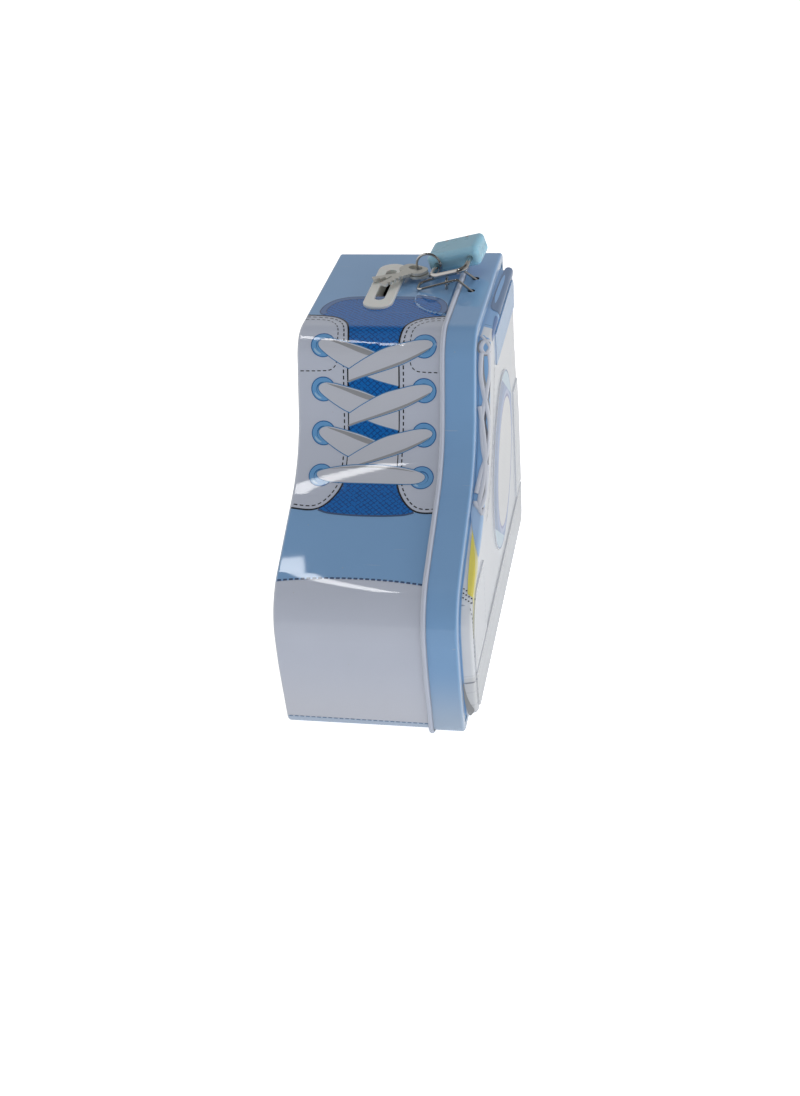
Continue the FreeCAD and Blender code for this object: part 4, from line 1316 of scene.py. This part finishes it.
@dataclass
class LidSide:
    """The print and the low laces round the lid's drafted side."""

    inks: Inks
    outline: Outline

    def flash(self) -> Object:
        """A yellow flash, blue shading, a grey bumper and stitches.

        Returns:
            The piece.
        """
        names = "YELLOW PALE_YELLOW SKY BUMPER GREY LINE SEAM TONGUE_RIM LINING MIST"
        piece = Print("lid_print", self.inks.get(*names.split()))
        shade = [(0.2, 118.0), (4.4, 114.5), (7.2, 108.0), (7.4, 98.0), (5.6, 92.5), (3.6, 97.0), (1.6, 104.5)]
        piece.fill(smooth(shade + [(0.3, 110.0)], True, 4), "MIST", lift=0.08)
        flash = [(1.5, 104.0), (3.4, 97.0), (4.8, 92.6), (7.2, 84.0), (7.7, 66.0), (7.6, 47.0), (6.8, 48.5)]
        flash += [(6.2, 60.0), (5.6, 68.0), (5.0, 71.7), (2.8, 73.2), (2.2, 81.0), (1.8, 89.7)]
        piece.fill(flash, "PALE_YELLOW", lift=0.11)
        core = [(1.5, 104.0), (3.0, 97.0), (3.9, 92.0), (4.9, 84.0), (5.2, 74.0), (4.9, 71.9), (2.8, 73.2)]
        piece.fill(core + [(2.2, 81.0), (1.8, 89.7)], "YELLOW", lift=0.12)
        bumper = [(-0.2, 31.0), (0.1, 24.0), (0.3, 17.0), (1.4, 9.6), (2.6, 9.0), (3.9, 11.6), (2.6, 15.0)]
        piece.fill(smooth(bumper + [(1.3, 20.0), (0.5, 26.0)], True, 4), "BUMPER")
        piece.stroke([(1.2, 26.8), (5.6, 26.6)], 0.35, "GREY")
        beside = smooth([(4.2, 66.0), (5.6, 60.0), (6.4, 52.0), (6.7, 44.0), (7.0, 38.0)])
        piece.dashes(beside, 0.4, 1.3, 1.1, "GREY", lift=0.12)
        seam = smooth([(19.0, 172.0), (17.5, 160.0), (16.0, 145.0), (15.0, 130.0), (14.0, 115.0)])
        piece.stroke(seam, 0.5, "GREY")
        piece.dashes(offset(seam, 1.6), 0.42, 1.6, 1.1, "SEAM")
        for row in range(3):
            for dot in range(4):
                piece.disc((1.1 + 1.15 * dot, 75.6 - 2.3 * row - 0.7 * dot), 0.34, "LINE")
        tongue = [(1.0, 222.0), (3.4, 218.6), (6.4, 218.4), (7.6, 222.0), (7.7, 240.0), (7.6, 262.0)]
        tongue += [(6.0, 267.0), (3.0, 267.5), (1.6, 262.0), (0.9, 240.0)]
        piece.fill(smooth(tongue, True, 4), "LINING", lift=0.08)
        piece.stroke(smooth([(7.4, 221.0), (7.5, 240.0), (7.4, 262.0)]), 0.9, "LINE", taper=True)
        piece.stroke(smooth([(2.2, 226.0), (2.2, 240.0), (2.6, 258.0)]), 1.6, "SKY", taper=True)
        edge = [(4.0, 214.0), (5.8, 212.5), (6.6, 206.0), (7.0, 196.0), (6.2, 192.5), (5.0, 196.0)]
        piece.fill(smooth(edge + [(4.2, 205.0)], True, 4), "TONGUE_RIM", lift=0.09)
        return piece.lay(LidRim(self.outline), "lid", across=0.5)

    def laces(self) -> Object:
        """Low laces that cross along the ankle, over their shadow.

        Returns:
            The piece.
        """
        piece = Print("lid_laces", self.inks.get("LACE", "GREY", "SKY", "LACE_GAP"))
        gap = [(0.9, 189.0), (3.0, 191.5), (5.6, 188.0), (6.3, 170.0), (6.2, 150.0), (6.3, 130.0)]
        gap += [(5.6, 114.0), (3.0, 112.0), (0.8, 116.0), (0.7, 150.0)]
        piece.fill(smooth(gap, True, 4), "SKY", lift=0.03)
        strands = (
            ((1.0, 191.0), (3.2, 187.0), (5.4, 182.0), (3.4, 177.5), (1.4, 181.0), (2.6, 186.5), (5.0, 189.0)),
            ((4.6, 180.0), (5.6, 170.0), (3.8, 160.0), (2.0, 150.0), (2.6, 140.0), (4.8, 131.0), (5.8, 122.0)),
            ((1.8, 178.0), (1.4, 168.0), (3.2, 158.0), (5.4, 148.0), (5.0, 138.0), (2.6, 130.0), (1.2, 121.0)),
            ((1.0, 155.0), (2.4, 147.0), (3.6, 138.0), (3.8, 128.0), (3.0, 118.0), (4.4, 112.5), (6.0, 116.0)),
            ((1.0, 117.5), (2.8, 115.0), (4.8, 118.5), (6.2, 126.0), (5.6, 133.0)),
        )
        for k, strand in enumerate(strands):
            path = smooth(list(strand), False, 8)
            rise = 0.03 * k
            # Under each strand lies a darker stroke set off to one side: a painted shadow of the raised lace.
            shadow = "LACE_GAP" if k % 2 else "GREY"
            piece.stroke(offset(path, 0.75), 2.2, shadow, lift=0.05 + rise, taper=True)
            piece.stroke(path, 1.9, "LACE", lift=0.07 + rise, crown=0.34)
        return piece.lay(LidRim(self.outline), "lid", across=0.5)

    def build(self) -> list[Object]:
        """Lays all of the lid's print."""
        return [self.flash(), self.laces()]


@dataclass
class Hardware:
    """Finishes of the solids that the frame already holds."""

    wear: Wear
    wire: Finish = Finish(roughness=0.05, metallic=1.0, tone=0.20, bump=0.01)
    steel: Finish = Finish(roughness=0.36, metallic=1.0, tone=0.25, bump=0.03)
    brass: Finish = Finish(roughness=0.30, metallic=1.0, tone=0.25, bump=0.03)
    key: Finish = Finish(roughness=0.42, metallic=0.6, tone=0.30, bump=0.05)
    bezel: Finish = Finish(roughness=0.40, coat=0.15, tone=0.10, bump=0.02, subsurface=0.15, radius=1.5)
    lock: Finish = Finish(
        roughness=0.28, coat=0.5, coat_roughness=0.12, tone=0.14, bump=0.02, subsurface=0.35, radius=3.0
    )

    def build(self) -> None:
        """Gives every solid its finish."""
        wires = ("hasp_staple", "hasp_bail", "padlock_shackle", "key_ring")
        steels = ("staple_plate", "hinge_wire", "padlock_rivets", "shackle_spring")
        groups = (
            (TIN, "wall_tin", WallPaint(), ("body_wall",)),
            (TIN, "skirt_tin", SkirtPaint(), ("lid_skirt",)),
            (TIN, "lid_tin", SidePaint(), ("lid_face",)),
            (TIN, "back_tin", SidePaint(border_to=-60.0, outward=-1.0), ("back_panel",)),
            (TIN, "tab_tin", Ink.SKY.value, ("hinge_tab_toe", "hinge_tab_middle", "hinge_tab_heel")),
            (self.wire, "bright_wire", (0.47, 0.46, 0.445), wires),
            (self.steel, "plain_steel", grey(0.50), steels),
            (self.brass, "lock_brass", (0.70, 0.53, 0.24), ("lock_plug", "lock_bolt")),
            (self.key, "key_metal", (0.74, 0.73, 0.68), ("lower_key", "upper_key")),
            (self.bezel, "bezel_plastic", (0.92, 0.93, 0.89), ("coin_slot_bezel",)),
            (self.lock, "lock_plastic", (0.36, 0.66, 0.84), ("padlock_case_upper", "padlock_case_lower")),
        )
        for finish, name, paint, nodes in groups:
            material = finish.material(name, self.wear, paint)
            for node in nodes:
                slots = bpy.data.objects[node].data.materials
                if not slots:
                    slots.append(material)
                for k in range(len(slots)):
                    slots[k] = material
                LOG.info("%s: %s", node, name)


@dataclass(frozen=True)
class Lamp:
    """A soft lamp, where it points, and whether surfaces mirror it."""

    name: str
    place: Place
    size: tuple[float, float]
    power: float
    aim: Place = (0.0, 0.0, 0.07)
    glints: bool = False

    def build(self) -> None:
        """Makes the lamp."""
        data = bpy.data.lights.new(self.name, "AREA")
        data.shape = "RECTANGLE"
        data.size, data.size_y = self.size
        data.energy = self.power
        lamp = bpy.data.objects.new(self.name, data)
        lamp.location = self.place
        lamp.visible_glossy = self.glints
        way = Vector(self.aim) - Vector(self.place)
        lamp.rotation_euler = way.to_track_quat("-Z", "Y").to_euler()
        bpy.context.scene.collection.objects.link(lamp)


@dataclass(frozen=True)
class Studio:
    """The camera that took the photo, the lamps and the white sweep."""

    centre: Place = (0.1269, -0.5986, 0.4133)
    right: Place = (0.98239, 0.17446, -0.06694)
    up: Place = (-0.03520, 0.52461, 0.85062)
    lens: float = 52.71
    ambient: float = 0.32
    room: float = 0.06
    backdrop: float = 0.42
    card: float = 0.45
    ceiling: float = 0.2
    floor_seen: float = 0.86
    floor_mirrored: float = 0.17
    floor_lit: float = 0.26
    backdrop_from: Span = (0.0, 0.3)
    backdrop_to: Span = (0.75, 0.5)
    ceiling_from: Span = (0.86, 0.96)
    left_from: Span = (-0.35, -0.6)
    card_from: Span = (0.5, 0.8)
    floor_radius: float = 4.0
    lamps: tuple[Lamp, ...] = (
        Lamp("side_lamp", (1.1, 0.08, 0.25), (0.8, 0.6), 4.8),
        Lamp("top_lamp", (0.0, 0.6, 1.0), (0.6, 0.6), 1.15),
        Lamp("front_lamp", (0.05, -1.1, 0.03), (0.8, 0.2), 1.75),
        Lamp("strip_lamp", (-0.270, -0.305, 1.15), (0.030, 0.70), 0.68, (-0.261, -0.387, 0.0), True),
    )

    def camera(self) -> None:
        """Makes the scene's camera."""
        data = bpy.data.cameras.new("camera")
        data.lens = self.lens
        data.sensor_width = 36.0
        data.sensor_fit = "AUTO"
        right = Vector(self.right).normalized()
        back = right.cross(Vector(self.up)).normalized()
        place = Matrix((right, back.cross(right), back)).transposed().to_4x4()
        place.translation = Vector(self.centre)
        camera = bpy.data.objects.new("camera", data)
        camera.matrix_world = place
        bpy.context.scene.collection.objects.link(camera)
        bpy.context.scene.camera = camera

    def world(self) -> None:
        """White where it is seen, a sweep in a darker room where it is mirrored, and dim as a light."""
        world = bpy.data.worlds.new("sweep")
        bpy.context.scene.world = world
        world.use_nodes = True
        tree = Tree(world.node_tree)
        way = tree.split(tree.node("ShaderNodeTexCoord").outputs["Generated"])
        behind = tree.both(tree.step(way.y, *self.backdrop_from), tree.step(way.z, *self.backdrop_to))
        room = tree.mix(behind, grey(self.room), grey(self.backdrop))
        room = tree.mix(tree.step(way.z, *self.ceiling_from), room, grey(self.ceiling))
        room = tree.mix(tree.step(way.x, *self.left_from), room, grey(1.0))
        room = tree.mix(tree.step(way.x, *self.card_from), room, grey(self.card))
        shade = self.by_ray(tree, grey(self.ambient), room, grey(1.0))
        tree.feed(world.node_tree.nodes["Background"], {"Color": shade})

    @staticmethod
    def by_ray(tree: Tree, lit: Colour, mirrored_as: Shade, seen: Colour) -> Socket:
        """Adds a colour that depends on how it is met.

        Args:
            tree: Where nodes are added.
            lit: What lights other things.
            mirrored_as: What glossy surfaces show.
            seen: What the camera sees.

        Returns:
            The colour.
        """
        path = tree.node("ShaderNodeLightPath").outputs
        shade = tree.mix(path["Is Glossy Ray"], lit, mirrored_as)
        return tree.mix(path["Is Camera Ray"], shade, seen)

    def floor(self) -> None:
        """A white floor that keeps the box's shadow."""
        mesh = bmesh.new()
        bmesh.ops.create_circle(mesh, cap_ends=True, segments=64, radius=self.floor_radius)
        data = bpy.data.meshes.new("floor")
        mesh.to_mesh(data)
        mesh.free()
        material = bpy.data.materials.new("floor")
        material.use_nodes = True
        tree = Tree(material.node_tree)
        grain = tree.noise(tree.node("ShaderNodeTexCoord").outputs["Object"], 300.0)
        glow = self.by_ray(tree, grey(self.floor_lit), grey(self.floor_mirrored), grey(self.floor_seen))
        inputs = {"Base Color": tree.mix(grain, grey(0.90), grey(0.94)), "Roughness": 0.9}
        inputs |= {"Emission Color": glow, "Emission Strength": 1.0}
        tree.feed(material.node_tree.nodes["Principled BSDF"], inputs)
        data.materials.append(material)
        floor = bpy.data.objects.new("floor", data)
        bpy.context.scene.collection.objects.link(floor)

    def build(self) -> None:
        """Sets up the picture."""
        self.camera()
        self.world()
        self.floor()
        for lamp in self.lamps:
            lamp.build()
        bpy.context.scene.view_settings.view_transform = "Standard"


def main() -> None:
    """Dresses the box and lights it."""
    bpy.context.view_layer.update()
    wear = Wear()
    inks = Inks(wear)
    outline = Outline()
    Hardware(wear).build()
    ShoeFront(inks, outline).build()
    LidSide(inks, outline).build()
    Studio().build()


if __name__ == "__main__":
    logging.basicConfig(level=logging.INFO, format="%(message)s")
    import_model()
    main()
